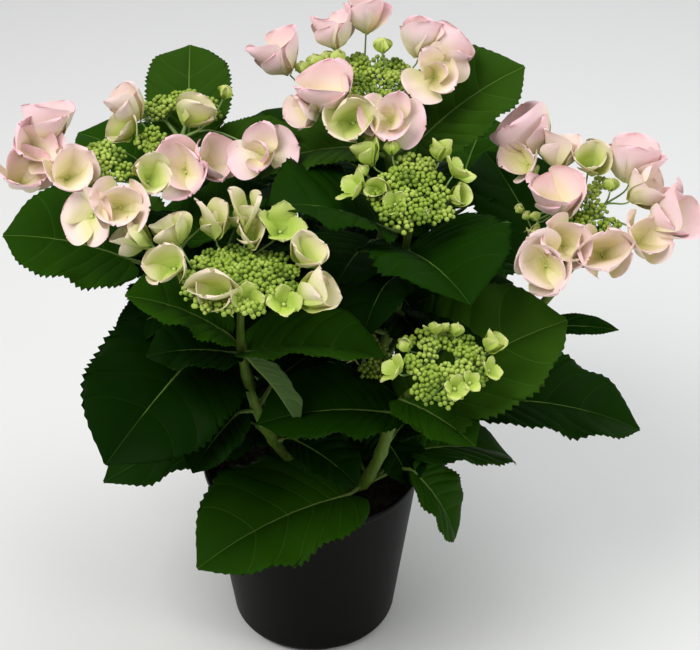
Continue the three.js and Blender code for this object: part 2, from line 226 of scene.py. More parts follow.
def cane_paint():
    paint = Paint("green_cane")
    streak = paint.cloud(paint.place((900, 900, 60)), 0.35, 4.0, 0.6)
    fleck = paint.cloud(paint.place((1, 1, 0.4)), 420.0, 2.0)
    green = paint.ramp(streak, (0.3, (0.048, 0.094, 0.008)), (0.55, (0.078, 0.140, 0.013)),
                       (0.8, (0.125, 0.195, 0.028)))
    dots = paint.ramp(fleck, (0.60, (0, 0, 0)), (0.68, (1, 1, 1)))
    colour = paint.mix(dots, green, (0.13, 0.105, 0.045, 1))
    return paint.skin(Base_Color=colour, Roughness=0.5, Specular_IOR_Level=0.2,
                      Normal=paint.bump(streak, 0.3, 0.0006))


def bark_paint():
    paint = Paint("old_wood")
    where = paint.place((1, 1, 0.35))
    ridge = paint.cloud(where, 260.0, 6.0, 0.65)
    patch = paint.cloud(where, 60.0)
    brown = paint.ramp(ridge, (0.3, (0.05, 0.03, 0.016)), (0.55, (0.13, 0.085, 0.045)),
                       (0.75, (0.24, 0.18, 0.11)))
    moss = paint.ramp(patch, (0.5, (0, 0, 0)), (0.7, (0.6, 0.6, 0.6)))
    colour = paint.mix(moss, brown, (0.10, 0.13, 0.04, 1))
    return paint.skin(Base_Color=colour, Roughness=0.85, Normal=paint.bump(ridge, 0.7, 0.0015))


def pot_paint():
    paint = Paint("pot_plastic")
    where = paint.place()
    grain = paint.cloud(where, 900.0, 2.0)
    dust = paint.cloud(where, 14.0, 5.0, 0.6)
    grey = paint.ramp(dust, (0.35, (0.0024, 0.0025, 0.0020)), (0.7, (0.0036, 0.0037, 0.0031)))
    return paint.skin(Base_Color=grey, Roughness=0.36 + dust * 0.14, Specular_IOR_Level=0.055,
                      Normal=paint.bump(grain, 0.08, 0.0003))


def compost_paint(name, dark, mid, light):
    paint = Paint(name)
    where = paint.place()
    crumb = paint.cloud(where, 320.0, 6.0, 0.7)
    patch = paint.cloud(where, 45.0, 4.0)
    brown = paint.ramp(crumb, (0.3, dark), (0.55, mid), (0.8, light))
    damp = paint.mix(patch * 0.5, brown, (*dark, 1))
    return paint.skin(Base_Color=damp, Roughness=0.95, Normal=paint.bump(crumb, 0.8, 0.002))


green_cane = cane_paint()
old_wood = bark_paint()
pot_plastic = pot_paint()
compost_brown = compost_paint("compost_brown", (0.012, 0.007, 0.004), (0.045, 0.026, 0.014),
                              (0.12, 0.075, 0.042))
crumb_brown = compost_paint("crumb_brown", (0.02, 0.011, 0.006), (0.07, 0.04, 0.022), (0.17, 0.11, 0.065))

# ------------------------------------------------------------------ meshes


def merged_points(node):
    """The corners of a CAD node's mesh, each once, and the edges between them."""
    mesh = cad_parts[node].data
    corner = np.array([v.co for v in mesh.vertices])
    keys = np.round(corner / (0.02 * MM)).astype(np.int64)
    _, first, back = np.unique(keys, axis=0, return_index=True, return_inverse=True)
    back = back.reshape(-1)
    edges = set()
    for polygon in mesh.polygons:
        ring = [int(back[i]) for i in polygon.vertices]
        for one, other in zip(ring, ring[1:] + ring[:1]):
            if one != other:
                edges.add((min(one, other), max(one, other)))
    return corner[first], edges


def groups(count, pairs):
    """Which of count things hang together, given the pairs that touch."""
    parent = list(range(count))

    def root(i):
        while parent[i] != i:
            parent[i] = parent[parent[i]]
            i = parent[i]
        return i

    for one, other in pairs:
        parent[root(one)] = root(other)
    found = {}
    for i in range(count):
        found.setdefault(root(i), []).append(i)
    return list(found.values())


def placed(name, data):
    """A new object in the scene, at the origin."""
    made = bpy.data.objects.new(name, data)
    bpy.context.scene.collection.objects.link(made)
    return made


def mesh_object(name, points, faces, materials, indices=None, smooth=True):
    mesh = bpy.data.meshes.new(name)
    mesh.from_pydata([tuple(p) for p in points], [], [tuple(f) for f in faces])
    for material in materials:
        mesh.materials.append(material)
    if indices is not None:
        mesh.polygons.foreach_set("material_index", np.asarray(indices, np.int32))
    mesh.polygons.foreach_set("use_smooth", np.full(len(mesh.polygons), smooth))
    mesh.validate()
    mesh.update()
    return placed(name, mesh)


def girthed(name, points, edges, girths):
    """Bare points and lines, each point with its girth, for a tree to grow on."""
    mesh = bpy.data.meshes.new(name)
    mesh.from_pydata([tuple(p) for p in points], edges, [])
    held = mesh.attributes.new("girth", "FLOAT", "POINT")
    held.data.foreach_set("value", np.array(girths, np.float32))
    return placed(name, mesh)


def grown(source, tree, values, name):
    """The plain mesh that a tree grows on a source object, which is then thrown away."""
    modifier = source.modifiers.new("grow", "NODES")
    modifier.node_group = tree
    for item in tree.interface.items_tree:
        if item.item_type == "SOCKET" and item.in_out == "INPUT" and item.name in values:
            modifier[item.identifier] = values[item.name]
    evaluated = source.evaluated_get(bpy.context.evaluated_depsgraph_get())
    mesh = bpy.data.meshes.new_from_object(evaluated)
    made = placed(name, mesh)
    bpy.data.objects.remove(source)
    mesh.name = name
    return made


def stalk_tree():
    """Turns lines into round stalks: each point's own girth sets the radius there."""
    tree = Tree("stalks", {"Sides": ("Int", 6), "Relief": ("Float", 0.0), "Relief scale": ("Float", 100.0)})
    curve = tree.node("GeometryNodeMeshToCurve", sockets=[tree.given("Geometry")])
    curve = tree.node("GeometryNodeSetCurveRadius", sockets={"Curve": curve, "Radius": tree.named("girth")})
    ring = tree.node("GeometryNodeCurvePrimitiveCircle", sockets={
        "Resolution": tree.given("Sides"), "Radius": 1.0})
    tube = tree.node("GeometryNodeCurveToMesh", sockets={
        "Curve": curve, "Profile Curve": ring, "Fill Caps": True, "Scale": tree.named("girth")})
    smooth = tree.node("GeometryNodeSetShadeSmooth", sockets={"Geometry": tube})
    rough = tree.node("ShaderNodeTexNoise", sockets={
        "Vector": tree.node("GeometryNodeInputPosition"), "Scale": tree.given("Relief scale"), "Detail": 3.0})
    push = tree.node("ShaderNodeVectorMath", {"operation": "SCALE"}, {
        0: tree.node("GeometryNodeInputNormal"), "Scale": (rough - 0.5) * tree.given("Relief")})
    moved = tree.node("GeometryNodeSetPosition", sockets={"Geometry": smooth, "Offset": push})
    return tree.finish(moved)


STALKS = stalk_tree()


def stalks(name, lines, material, sides, relief=0.0, relief_scale=100.0):
    """Round stalks along lines, each a list of points and a list of radii."""
    points, edges, radii = [], [], []
    for route, thickness in lines:
        edges += [(len(points) + i, len(points) + i + 1) for i in range(len(route) - 1)]
        points += list(route)
        radii += list(thickness)
    return grown(girthed(name + "_lines", points, edges, radii), STALKS, {
        "Sides": sides, "Relief": relief, "Relief scale": relief_scale, "Material": material}, name)


# ------------------------------------------------------------------ paths


def through(knots, values, places):
    """A smooth path that passes through values at the knots, read at places."""
    knots, values, places = (np.asarray(given, float) for given in (knots, values, places))
    gaps = np.diff(knots)
    deeper = [1] * (values.ndim - 1)
    rises = np.diff(values, axis=0) / gaps.reshape(-1, *deeper)
    share = (gaps[1:] / (gaps[:-1] + gaps[1:])).reshape(-1, *deeper)
    slopes = np.concatenate([rises[:1], rises[:-1] * share + rises[1:] * (1 - share), rises[-1:]])
    piece = np.clip(np.searchsorted(knots, places, side="right") - 1, 0, len(gaps) - 1)
    gap = gaps[piece].reshape(*places.shape, *deeper)
    t = (places - knots[piece]).reshape(*places.shape, *deeper) / gap
    return (values[piece] * (2 * t ** 3 - 3 * t ** 2 + 1) + slopes[piece] * gap * (t ** 3 - 2 * t ** 2 + t)
            + values[piece + 1] * (3 * t ** 2 - 2 * t ** 3) + slopes[piece + 1] * gap * (t ** 3 - t ** 2))


def unit(vectors):
    """Vectors made one long."""
    vectors = np.asarray(vectors, float)
    return vectors / np.maximum(norm(vectors, axis=-1, keepdims=True), 1e-12)


def bezier(one, two, three, four, steps):
    t = np.linspace(0, 1, steps)[:, None]
    return one * (1 - t) ** 3 + two * 3 * t * (1 - t) ** 2 + three * 3 * t ** 2 * (1 - t) + four * t ** 3


# ------------------------------------------------------------------ canes

RING_REACH = 9 * MM         # corners nearer than this are of one ring of a cane
CANE_STEP = 3 * MM          # how finely a cane is followed
CROWN_DEPTH = 12 * MM       # how far a cane's foot runs on into the crown
FOOT_FLARE = (1.08, 1.05)   # the steps by which a cane thickens at its foot
JOINT_SWELL = 0.20          # how much a cane thickens at its joints
JOINT_LENGTH = 5 * MM

cane_names = sorted(name[len("cane_"):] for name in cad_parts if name.startswith("cane_"))


class Cane:
    """A cane's middle line and thickness, read from its CAD mesh, from the crown to the tip."""

    def __init__(self, name):
        points, _ = merged_points("cane_" + name)
        pairs = [(i, j) for i in range(len(points)) for j in range(i)
                 if norm(points[i] - points[j]) < RING_REACH]
        rings = [points[members] for members in groups(len(points), pairs)]
        middles = np.array([ring.mean(0) for ring in rings])
        widths = np.array([norm(ring - ring.mean(0), axis=1).mean() for ring in rings])
        chain = [int(np.argmin(np.hypot(middles[:, 0], middles[:, 1])))]
        while len(chain) < len(rings):
            reach = norm(middles - middles[chain[-1]], axis=1)
            reach[chain] = np.inf
            chain.append(int(np.argmin(reach)))
        centres = middles[chain]
        radii = widths[chain]
        radii[0] = radii[1] * FOOT_FLARE[0]
        foot = centres[0] - unit(centres[1] - centres[0]) * CROWN_DEPTH
        centres = np.vstack([foot, centres])
        radii = np.concatenate([[radii[0] * FOOT_FLARE[1]], radii])
        knots = np.concatenate([[0], np.cumsum(norm(np.diff(centres, axis=0), axis=1))])
        self.length = knots[-1]
        self.places = np.linspace(0, self.length, int(self.length / CANE_STEP) + 2)
        self.line = through(knots, centres, self.places)
        self.radius = np.interp(self.places, knots, radii)
        self.joints = []

    def nearest(self, point):
        """The place along the cane that is nearest to a point."""
        return self.places[np.argmin(norm(self.line - point, axis=1))]

    def at(self, place):
        return np.array([np.interp(place, self.places, self.line[:, k]) for k in range(3)])

    def along(self, place):
        return unit(self.at(place + CANE_STEP) - self.at(place - CANE_STEP))

    def thickness(self, place):
        return float(np.interp(place, self.places, self.radius))

    def stalk(self):
        """The line and radii, with a swelling at each joint."""
        radii = self.radius.copy()
        for joint in self.joints:
            radii *= 1 + JOINT_SWELL * np.exp(-((self.places - joint) / JOINT_LENGTH) ** 2)
        return self.line, radii


cane_of = {name: Cane(name) for name in cane_names}

# ------------------------------------------------------------------ leaves

COLLAR_REACH = 6.5 * MM     # corners nearer the cane's skin than this are of the leaf's collar
FOURS = 4                   # stations where a blade's CAD solid has four corners, before its tip
STATIONS = (0.0, 0.12, 0.42, 0.78, 1.0)     # the stations and the tip, as shares of the blade's length
BASE_WIDTH = 0.1            # the side directions at the base are the next station's, this short
TIP_WIDTH = 0.01
OUTLINE = ((0.0, 0.58), (0.05, 0.73), (0.12, 0.86), (0.25, 0.97), (0.42, 1.0), (0.60, 0.96), (0.75, 0.82),
           (0.85, 0.60), (0.92, 0.34), (0.965, 0.13), (1.0, 0.01))      # half width along the midrib
LOBE = 0.085                # how far the rounded base reaches back past the stalk's end, as a share of length
LOBE_END = 0.32
VEIN_PAIRS = 6
VEIN_ROOTS = (0.012, 0.60, 2.1)     # the first and last side vein on the midrib, and how they crowd the base
VEIN_ENDS = (0.13, 0.82, 0.95)      # the same on the edge
VEIN_WIDTH = 0.0055         # share of the blade's length that a side vein covers at the midrib
VEIN_CURVE = 1.25           # above one, a side vein bends towards the tip
MIDRIB = 0.95 * MM          # half the midrib's width at the base, beyond what it keeps at the tip
MIDRIB_TIP = 0.2 * MM
BLADE_THICK = 0.45 * MM
RIDGE = 0.55 * MM           # how far the veins stand out below
FULLNESS = 1.04             # the fine blade's width against its CAD solid's
SLIMMEST = 0.22             # least half width, as a share of length
QUILT = 1.25 * MM           # how far the blade bulges between its veins
CRUMPLE = 0.26 * MM
GROOVE = 0.75 * MM          # how deep the veins lie
TEETH_FROM = 0.86           # share of the half width where the teeth begin
TOOTH = 0.062               # depth of the teeth, as a share of the half width
TOOTH_LEAN = (0.42, 0.12)   # how far a tooth leans forward and a notch back, in columns
WAVE = 3.0 * MM             # how far the margin waves on a blade as wide as the next value
WAVE_WIDTH = 50 * MM
COLUMNS_BETWEEN = 5         # columns of corners between two side veins
COLUMNS_AT_TIP = 9
ROW_SHARES = (0.0, 0.10, 0.24, 0.40, 0.56, 0.72, 0.86, 1.0)     # rows of corners from the midrib to the edge
PETIOLE_RADII = (3.4, 2.6, 2.1, 1.9, 1.8, 1.75, 1.7, 1.7, 1.6, 1.35, 1.15, 0.9, 0.65, 0.42, 0.2)    # mm


def blade_columns():
    """Columns of a half blade: places on the midrib and edge, tooth, phase of quilt; and which are veins."""
    order = np.arange(VEIN_PAIRS) / (VEIN_PAIRS - 1)
    roots, ends = (first + (last - first) * order ** crowd for first, last, crowd in (VEIN_ROOTS, VEIN_ENDS))
    half = np.array([VEIN_WIDTH / 2, VEIN_WIDTH / 5])
    columns = [(0.0, 0.0, 0.0, 0.0)]
    strips = set()
    behind = np.zeros(2)
    for vein in [*np.stack([roots, ends], -1), None]:
        ahead = np.full(2, 0.992) if vein is None else vein - half
        inner = COLUMNS_AT_TIP if vein is None else COLUMNS_BETWEEN
        for i in range(inner):
            share = (i + 1) / (inner + 1)
            columns.append((*(behind + (ahead - behind) * share), float(i % 2), share))
        if vein is None:
            columns.append((*ahead, 1.0, 1.0))
        else:
            strips.add(len(columns))
            behind = vein + half
            columns += [(*ahead, 1.0, 0.0), (*behind, 1.0, 0.0)]
    return np.array(columns), strips


COLUMNS, VEIN_STRIPS = blade_columns()
ROWS = len(ROW_SHARES)
BLADE, VEIN, RIB, UNDER, UNDER_VEIN = range(5)


def rim_of(length, width):
    """The corners round a grid, in order."""
    grid = np.arange(length * width).reshape(length, width)
    return [*grid[:, 0], *grid[-1, 1:], *grid[-2::-1, -1], *grid[0, -2:0:-1]]


def blade_topology():
    """The faces that every blade shares, and which part of the blade each one is."""
    count = len(COLUMNS)
    across = 2 * ROWS + 1
    under = count * across
    faces, parts = [], []
    for j in range(count - 1):
        for i in range(across - 1):
            rib = i in (ROWS - 1, ROWS)
            vein = j in VEIN_STRIPS
            a, b = j * across + i, j * across + i + 1
            c, d = a + across, b + across
            faces += [(a, c, d, b), (under + a, under + b, under + d, under + c)]
            parts += [RIB if rib else VEIN if vein else BLADE, UNDER_VEIN if vein or rib else UNDER]
    rim = rim_of(count, across)
    for one, other in zip(rim, rim[1:] + rim[:1]):
        faces.append((one, under + one, under + other, other))
        parts.append(BLADE)
    return np.array(faces), np.array(parts)


BLADE_FACES, BLADE_PARTS = blade_topology()


class Blade:
    """A leaf: where its stations lie, which cane it grows from, and its tone."""

    def __init__(self, cane, joint, centres, left, right, ups, tone=None):
        self.cane = cane
        self.joint = joint
        self.centres = np.asarray(centres)
        self.left = np.asarray(left)
        self.right = np.asarray(right)
        self.ups = unit(ups)
        self.tone = tone
        self.length = norm(np.diff(self.centres, axis=0), axis=1).sum()
        self.width = (norm(self.left[2]) + norm(self.right[2])) / 2 * FULLNESS
        self.width = max(self.width, self.length * SLIMMEST)

    def shape(self, rng):
        """The corners of the fine blade, upper side first and then the under side."""
        tilt = rng.uniform(0, 2 * math.pi, 6)
        sides = [self.half_shape(sign, side, tilt) for sign, side in ((-1, self.left), (1, self.right))]
        return np.concatenate([np.concatenate([left[:, :0:-1], right], axis=1).reshape(-1, 3)
                               for left, right in zip(*sides)])

    def half_shape(self, sign, side, tilt):
        """One half's corners, over and under, from base to tip and from the midrib outwards."""
        root, edge, tooth, phase = COLUMNS.T[:, :, None]
        v = np.array([0.0, *ROW_SHARES])
        fringe = np.clip((v - TEETH_FROM) / (1 - TEETH_FROM), 0, 1)
        nose = (tooth * TOOTH_LEAN[0] - TOOTH_LEAN[1]) * np.diff(edge, axis=0, prepend=0.0) * fringe
        lobe = LOBE * np.clip(1 - edge / LOBE_END, 0, 1) ** 1.3 * np.sin(math.pi * v ** 0.8) ** 0.8
        s = np.minimum(root + (edge - root) * v ** VEIN_CURVE + nose, 0.999)
        half = through(*np.array(OUTLINE).T, np.maximum(s, 0)) * self.width
        s = s - lobe
        rib = np.minimum(0.3, (MIDRIB * (1 - s) + MIDRIB_TIP) / np.maximum(half, 1e-6))
        across = np.where(np.arange(len(v)) == 0, 0.0, rib + (1 - rib) * v)
        across = across * (1 - np.where(edge > 0.01, TOOTH * (1 - tooth), 0.0) * fringe)

        centre = through(STATIONS, self.centres, s)
        up = unit(through(STATIONS, self.ups, s))
        out = unit(through(STATIONS, unit(side), s))
        rise = (out * up).sum(-1, keepdims=True)
        bend = rise[..., 0] * half * (1.45 * across - 0.62 * across ** 2)
        swell = np.sin(math.pi * phase) ** 0.8 * np.sin(math.pi * np.clip(across, 0, 1)) ** 0.7
        scale = np.clip(half / self.width, 0, 1)
        crumple = (np.sin(71 * s + 11 * sign * across + tilt[0]) * np.sin(13 * across + 33 * s + tilt[1])
                   + 0.7 * np.sin(151 * s + 9 * sign * across + tilt[2]) * np.sin(17 * across + tilt[3]))
        vein = (phase == 0) * np.clip(1 - across * 0.8, 0, 1)
        middle = (np.arange(len(v)) < 2) * 1.0
        ripple = np.sin(13 * s + tilt[4] + sign) + 0.7 * np.sin(23 * s + tilt[5] - 2 * sign)
        height = bend + (QUILT * swell + CRUMPLE * crumple * (across > 0)) * scale
        height -= GROOVE * np.maximum(vein * (across > 0), middle) * scale
        height += WAVE * ripple * across ** 2.2 * scale * (self.width / WAVE_WIDTH)
        thick = BLADE_THICK * (1 - 0.6 * across) + RIDGE * np.maximum(vein, middle) * scale
        top = centre + (out - up * rise) * (half * across)[..., None] + up * height[..., None]
        return top, top - up * thick[..., None]

    def petiole(self):
        """The leaf stalk from the cane to the blade, and on below it as the midrib's ridge."""
        start = self.cane.at(self.joint)
        base = self.centres[0]
        reach = norm(base - start)
        route = bezier(start, start + unit(base - start) * reach * 0.4 - self.ups[0] * reach * 0.10,
                       base - unit(self.centres[1] - base) * reach * 0.3, base, 9)
        shares = np.array([0.08, 0.2, 0.35, 0.5, 0.62, 0.72])
        ridge = through(STATIONS, self.centres, shares) - unit(through(STATIONS, self.ups, shares)) * 0.9 * MM
        girth = 0.75 + 0.25 * min(1.0, self.length / 0.12)
        return np.vstack([route, ridge]), np.array(PETIOLE_RADII) * MM * girth


def carrier(spray):
    """The name of the cane that carries a spray of leaves."""
    return spray.rsplit("_", 1)[0]


def read_blades(spray):
    """The leaves of a CAD node, from the corners that its blades keep clear of the collar."""
    cane = cane_of[carrier(spray)]
    points, edges = merged_points("leaves_" + spray)
    away = np.array([norm(cane.line - point, axis=1).min() - cane.thickness(cane.nearest(point))
                     for point in points])
    free = np.nonzero(away > COLLAR_REACH)[0]
    order = {int(p): i for i, p in enumerate(free)}
    links = [(order[a], order[b]) for a, b in edges if a in order and b in order]
    joint = cane.nearest(points[away <= COLLAR_REACH].mean(0))
    cane.joints.append(joint)
    heart = cane.at(joint)
    clouds = [points[free[members]] for members in groups(len(free), links)]
    return [read_blade(cane, joint, heart, cloud) for cloud in clouds if len(cloud) > FOURS * 4]


def read_blade(cane, joint, heart, cloud):
    """One leaf: of a station's four corners two are its sides and two lie over and under its middle."""
    tip = cloud[np.argmax(norm(cloud - heart, axis=1))]
    rest = cloud[norm(cloud - tip, axis=1) > 0.1 * MM]
    fours = rest[np.argsort(rest @ unit(tip - heart))][-FOURS * 4:].reshape(FOURS, 4, 3)
    pairs = [(a, b) for a in range(4) for b in range(a)]
    stations = {}
    side = None
    # The base comes last: it is as thick as it is wide, so its sides are known by the next station's.
    for k in (1, 2, 3, 0):
        four = fours[k]
        if k:
            far = max(pairs, key=lambda p: norm(four[p[0]] - four[p[1]]))
        else:
            far = max(pairs, key=lambda p: abs((four[p[0]] - four[p[1]]) @ side))
        one, other = four[far[0]], four[far[1]]
        middle = np.array([four[m] for m in range(4) if m not in far]).mean(0)
        if side is None:
            side = unit(one - other)
        elif (one - other) @ side < 0:
            one, other = other, one
        stations[k] = (middle, one - middle, other - middle, (one + other) / 2 - middle)
    centres, left, right, ups = (list(row) for row in zip(*(stations[k] for k in range(FOURS))))
    # The left side is the one on the left of the tip when the blade is seen from above.
    if np.cross(left[2], tip - centres[0]) @ ups[2] > 0:
        left, right = right, left
    ups[0] = ups[1]
    for half in (left, right):
        half[0] = half[1] * BASE_WIDTH
        half.append(half[-1] * TIP_WIDTH)
    return Blade(cane, joint, [*centres, tip], left, right, [*ups, ups[-1]])


sprays = sorted(name[len("leaves_"):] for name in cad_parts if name.startswith("leaves_"))
blades = {spray: read_blades(spray) for spray in sprays}

# The tone of each big spray that is seen first, a painted shade or light that follows how each spray is lit;
# the others are dealt by height.
SPRAY_TONES = {
    "far_left_2": "deep", "front_left_2": "deep", "front_left_3": "deep", "front_left_4": "deep",
    "centre_1": "dark", "centre_2": "dark", "far_left_3": "dark", "right_1": "dark", "right_3": "dark",
    "back_left_2": "mid", "far_left_1": "mid", "front_left_1": "mid", "front_right_1": "mid",
    "front_right_2": "mid", "back_left_1": "fresh", "top_1": "fresh",
}
# Single leaves whose painted shade or light differs from the rest of their spray.
LEAF_TONES_APART = {("front_right_1", 0): "dark", ("front_right_1", 2): "fresh"}
# Leaves that hang a little apart from their CAD solid, by spray and order: shift in mm, length and width
# against it.
EASED = {
    ("centre_1", 0): ((-8, 0, 2), 1.2, 1.35), ("centre_2", 0): ((-3, 4, 12), 0.90, 0.95),
    ("front_right_1", 0): ((12, 0, -8), 1.22, 1.08), ("front_right_1", 1): ((-12, -4, 18), 1.25, 1.3),
    ("front_right_1", 2): ((-4, -2, -9), 1.0, 1.16), ("front_right_2", 0): ((11, 0, -4), 0.99, 1.12),
    ("front_right_2", 1): ((20, 0, 11), 1.0, 1.0), ("front_right_2", 2): ((-2, 0, 5), 1.0, 1.5),
    ("front_left_1", 0): ((10, 0, 4), 0.95, 1.1), ("front_left_1", 1): ((-14, 0, -13), 1.0, 0.9),
    ("front_left_2", 0): ((18, 4, 8), 0.9, 1.1), ("far_left_1", 0): ((0, -4, -1), 0.88, 1.08),
    ("far_left_2", 0): ((0, 0, 1), 1.0, 0.86), ("low_left_2", 0): ((5, 0, 0), 0.66, 0.8),
    ("top_1", 1): ((0, 0, -3), 0.90, 0.92), ("right_2", 1): ((0, 0, 2), 0.88, 0.6),
    ("right_3", 1): ((0, 0, -4), 1.0, 1.1), ("back_left_1", 0): ((3, 0, -3), 0.96, 0.96),
    ("back_left_2", 1): ((4, 0, -6), 1.0, 1.2), ("back_right_1", 0): ((20, -6, 15), 1.5, 1.9),
    ("back_right_2", 0): ((0, 0, 7), 1.15, 1.1),
}
HIGH = 0.30                 # leaves whose middle is above this are dealt the high tones
# Painted shade: leaves low in the plant and the inner leaves of its heart are dealt darker tones than the
# high ones.
HIGH_LIT_TONES = ("dark", "mid", "mid", "fresh")
LOW_SHADED_TONES = ("deep", "dark", "dark", "mid")
INNER_SHADED_TONES = ("deep", "deep", "dark")
# Single leaves: the cane, the share of its length, the way they point and their length in mm.
PLACED = (("centre", 0.60, (0.35, -1.0, 0.0), 60),)
# Leaves that hang folded and show their under side: the same, and before the length the way their upper side
# faces.
FOLDED = (("front_left", 0.80, (0.55, -0.2, -0.8), (0.75, 0.55, 0.2), 66),)
INNER_FROM = 50 * MM        # the lowest inner leaves, from a cane's foot
JOINT_ROOM = 11 * MM        # inner leaves keep this far from the joints of the others
OPEN_BELOW = 0.27           # lower than this the front has no inner leaves, where the compost shows
BARE_TIP = {"right": 125, "far_left": 90, "front_right": 110, "front_left": 200}    # mm without inner leaves
BARE_TIP_ELSEWHERE = 50
FOLIAGE = {
    "foliage_left": ("far_left", "front_left", "low_left"),
    "foliage_right": ("right", "front_right", "centre"),
    "foliage_back": ("back", "back_left", "back_right", "top", "inner"),
}


def inner_blades(rng):
    """Small leaves low on the canes, in pairs set crosswise, that fill the plant's heart."""
    made = []
    for name, cane in cane_of.items():
        place = INNER_FROM
        turn = rng.uniform(0, math.pi)
        last = cane.length - BARE_TIP.get(name, BARE_TIP_ELSEWHERE) * MM
        while place < last:
            if min(abs(place - joint) for joint in cane.joints) > JOINT_ROOM:
                axis = cane.along(place)
                size = rng.uniform(52, 86) * MM * (0.72 + 0.36 * min(1.0, place / (200 * MM)))
                across = unit(np.cross(axis, (0.3, 1.0, 0.2)))
                beyond = np.cross(axis, across)
                for flip in (0, math.pi):
                    out = across * math.cos(turn + flip) + beyond * math.sin(turn + flip)
                    if out[1] >= -0.2 or cane.at(place)[2] >= OPEN_BELOW:
                        made.append(inner_blade(cane, place, out, size * rng.uniform(0.85, 1.1), rng))
                cane.joints.append(place)
            turn += math.pi / 2 + rng.uniform(-0.25, 0.25)
            place += rng.uniform(30, 44) * MM
    for name, share, out, length in PLACED:
        made.append(inner_blade(cane_of[name], cane_of[name].length * share, out, length * MM, rng))
    for name, share, way, up, length in FOLDED:
        made.append(folded_blade(cane_of[name], cane_of[name].length * share, unit(way), up, length * MM))
    return made


def folded_blade(cane, joint, way, up, length):
    """A leaf that hangs along way, folded on its midrib, its upper side towards up."""
    up = unit(np.array(up) - way * (up @ way))
    side = np.cross(up, way)
    shares = np.array(STATIONS)
    base = cane.at(joint) + way * (cane.thickness(joint) + length * 0.12)
    centres = base + np.outer(shares * length, way) + np.outer(np.sin(shares * math.pi) * length * 0.05, up)
    spread = np.interp(shares, *np.array(OUTLINE).T)[:, None] * length * 0.20
    # The folded leaf takes the lightest green: painted light.
    return Blade(cane, joint, centres, (side + up * 0.8) * spread, (up * 0.8 - side) * spread,
                 np.repeat(up[None], len(shares), axis=0), "fresh")


def inner_blade(cane, joint, out, length, rng):
    """One small leaf that leaves its cane along out and hangs over at its tip."""
    level = unit(np.array([out[0], out[1], 0.0]) + 1e-6)
    rise = rng.uniform(0.1, 0.5)
    base = cane.at(joint) + unit(level + (0, 0, rise + 0.2)) * (cane.thickness(joint) + length * 0.24)
    side = np.cross((0, 0, 1.0), level)
    sag = rng.uniform(0.15, 0.5)
    shares = np.array(STATIONS)
    centres = base + np.outer(shares * length, level)
    centres[:, 2] += length * (rise * shares - (rise * 0.4 + sag) * shares ** 2.2)
    roll = rng.uniform(-0.25, 0.25)
    ups = np.repeat(unit((0, 0, 1.0) + side * roll - level * 0.1)[None], len(shares), axis=0)
    spread = np.interp(shares, *np.array(OUTLINE).T)[:, None] * length * rng.uniform(0.36, 0.43)
    flat = side - ups * (side @ ups[0])
    fold = ups * 0.3
    # The inner leaves take the darkest greens: painted shade of the plant's heart.
    return Blade(cane, joint, centres, (flat + fold) * spread, (fold - flat) * spread, ups,
                 str(rng.choice(INNER_SHADED_TONES)))


def leaf_piece(name, leaves, rng):
    """All the given leaves as one mesh, each with its own tone."""
    kinds = [*leaf_paint]
    corners = [leaf.shape(rng) for leaf in leaves]
    faces = [BLADE_FACES + order * len(corners[0]) for order in range(len(leaves))]
    slots = []
    for leaf in leaves:
        parts = (leaf.tone, leaf.tone + "_vein", leaf.tone + "_rib", "under", "under_vein")
        slots.append(np.array([kinds.index(part) for part in parts])[BLADE_PARTS])
    return mesh_object(name, np.vstack(corners), np.vstack(faces).tolist(), leaf_paint.values(),
                       np.concatenate(slots))


def dress_leaves():
    """The leaf pieces, by the side of the plant that they hang on, and the stalks that carry them."""
    rng = np.random.default_rng(SEED)
    for spray, leaves in blades.items():
        for order, leaf in enumerate(leaves):
            # Lower leaves are dealt darker greens, as painted shade.
            dealt = HIGH_LIT_TONES if leaf.centres[2][2] > HIGH else LOW_SHADED_TONES
            leaf.tone = SPRAY_TONES.get(spray) or str(rng.choice(dealt))
            leaf.tone = LEAF_TONES_APART.get((spray, order), leaf.tone)
    for (spray, order), (shift, longer, wider) in EASED.items():
        leaf = blades[spray][order]
        leaf.centres = leaf.centres[0] + (leaf.centres - leaf.centres[0]) * longer + np.array(shift) * MM
        leaf.length *= longer
        leaf.width *= wider
    small = inner_blades(rng)
    pieces = []
    for title, canes in FOLIAGE.items():
        held = [spray for spray in sprays if carrier(spray) in canes]
        piece = leaf_piece(title, [leaf for spray in held for leaf in blades[spray]], rng)
        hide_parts(*["leaves_" + spray for spray in held])
        pieces.append(piece)
    pieces.append(leaf_piece("foliage_inner", small, rng))
    every = [leaf for leaves in blades.values() for leaf in leaves] + small
    pieces.append(stalks("petioles", [leaf.petiole() for leaf in every], petiole_green, sides=7))
    return pieces


leaf_pieces = dress_leaves()
wood = stalks("canes", [cane.stalk() for cane in cane_of.values()], green_cane, sides=14,
              relief=0.3 * MM, relief_scale=170.0)
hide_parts(*["cane_" + name for name in cane_names])

# ------------------------------------------------------------------ flower heads

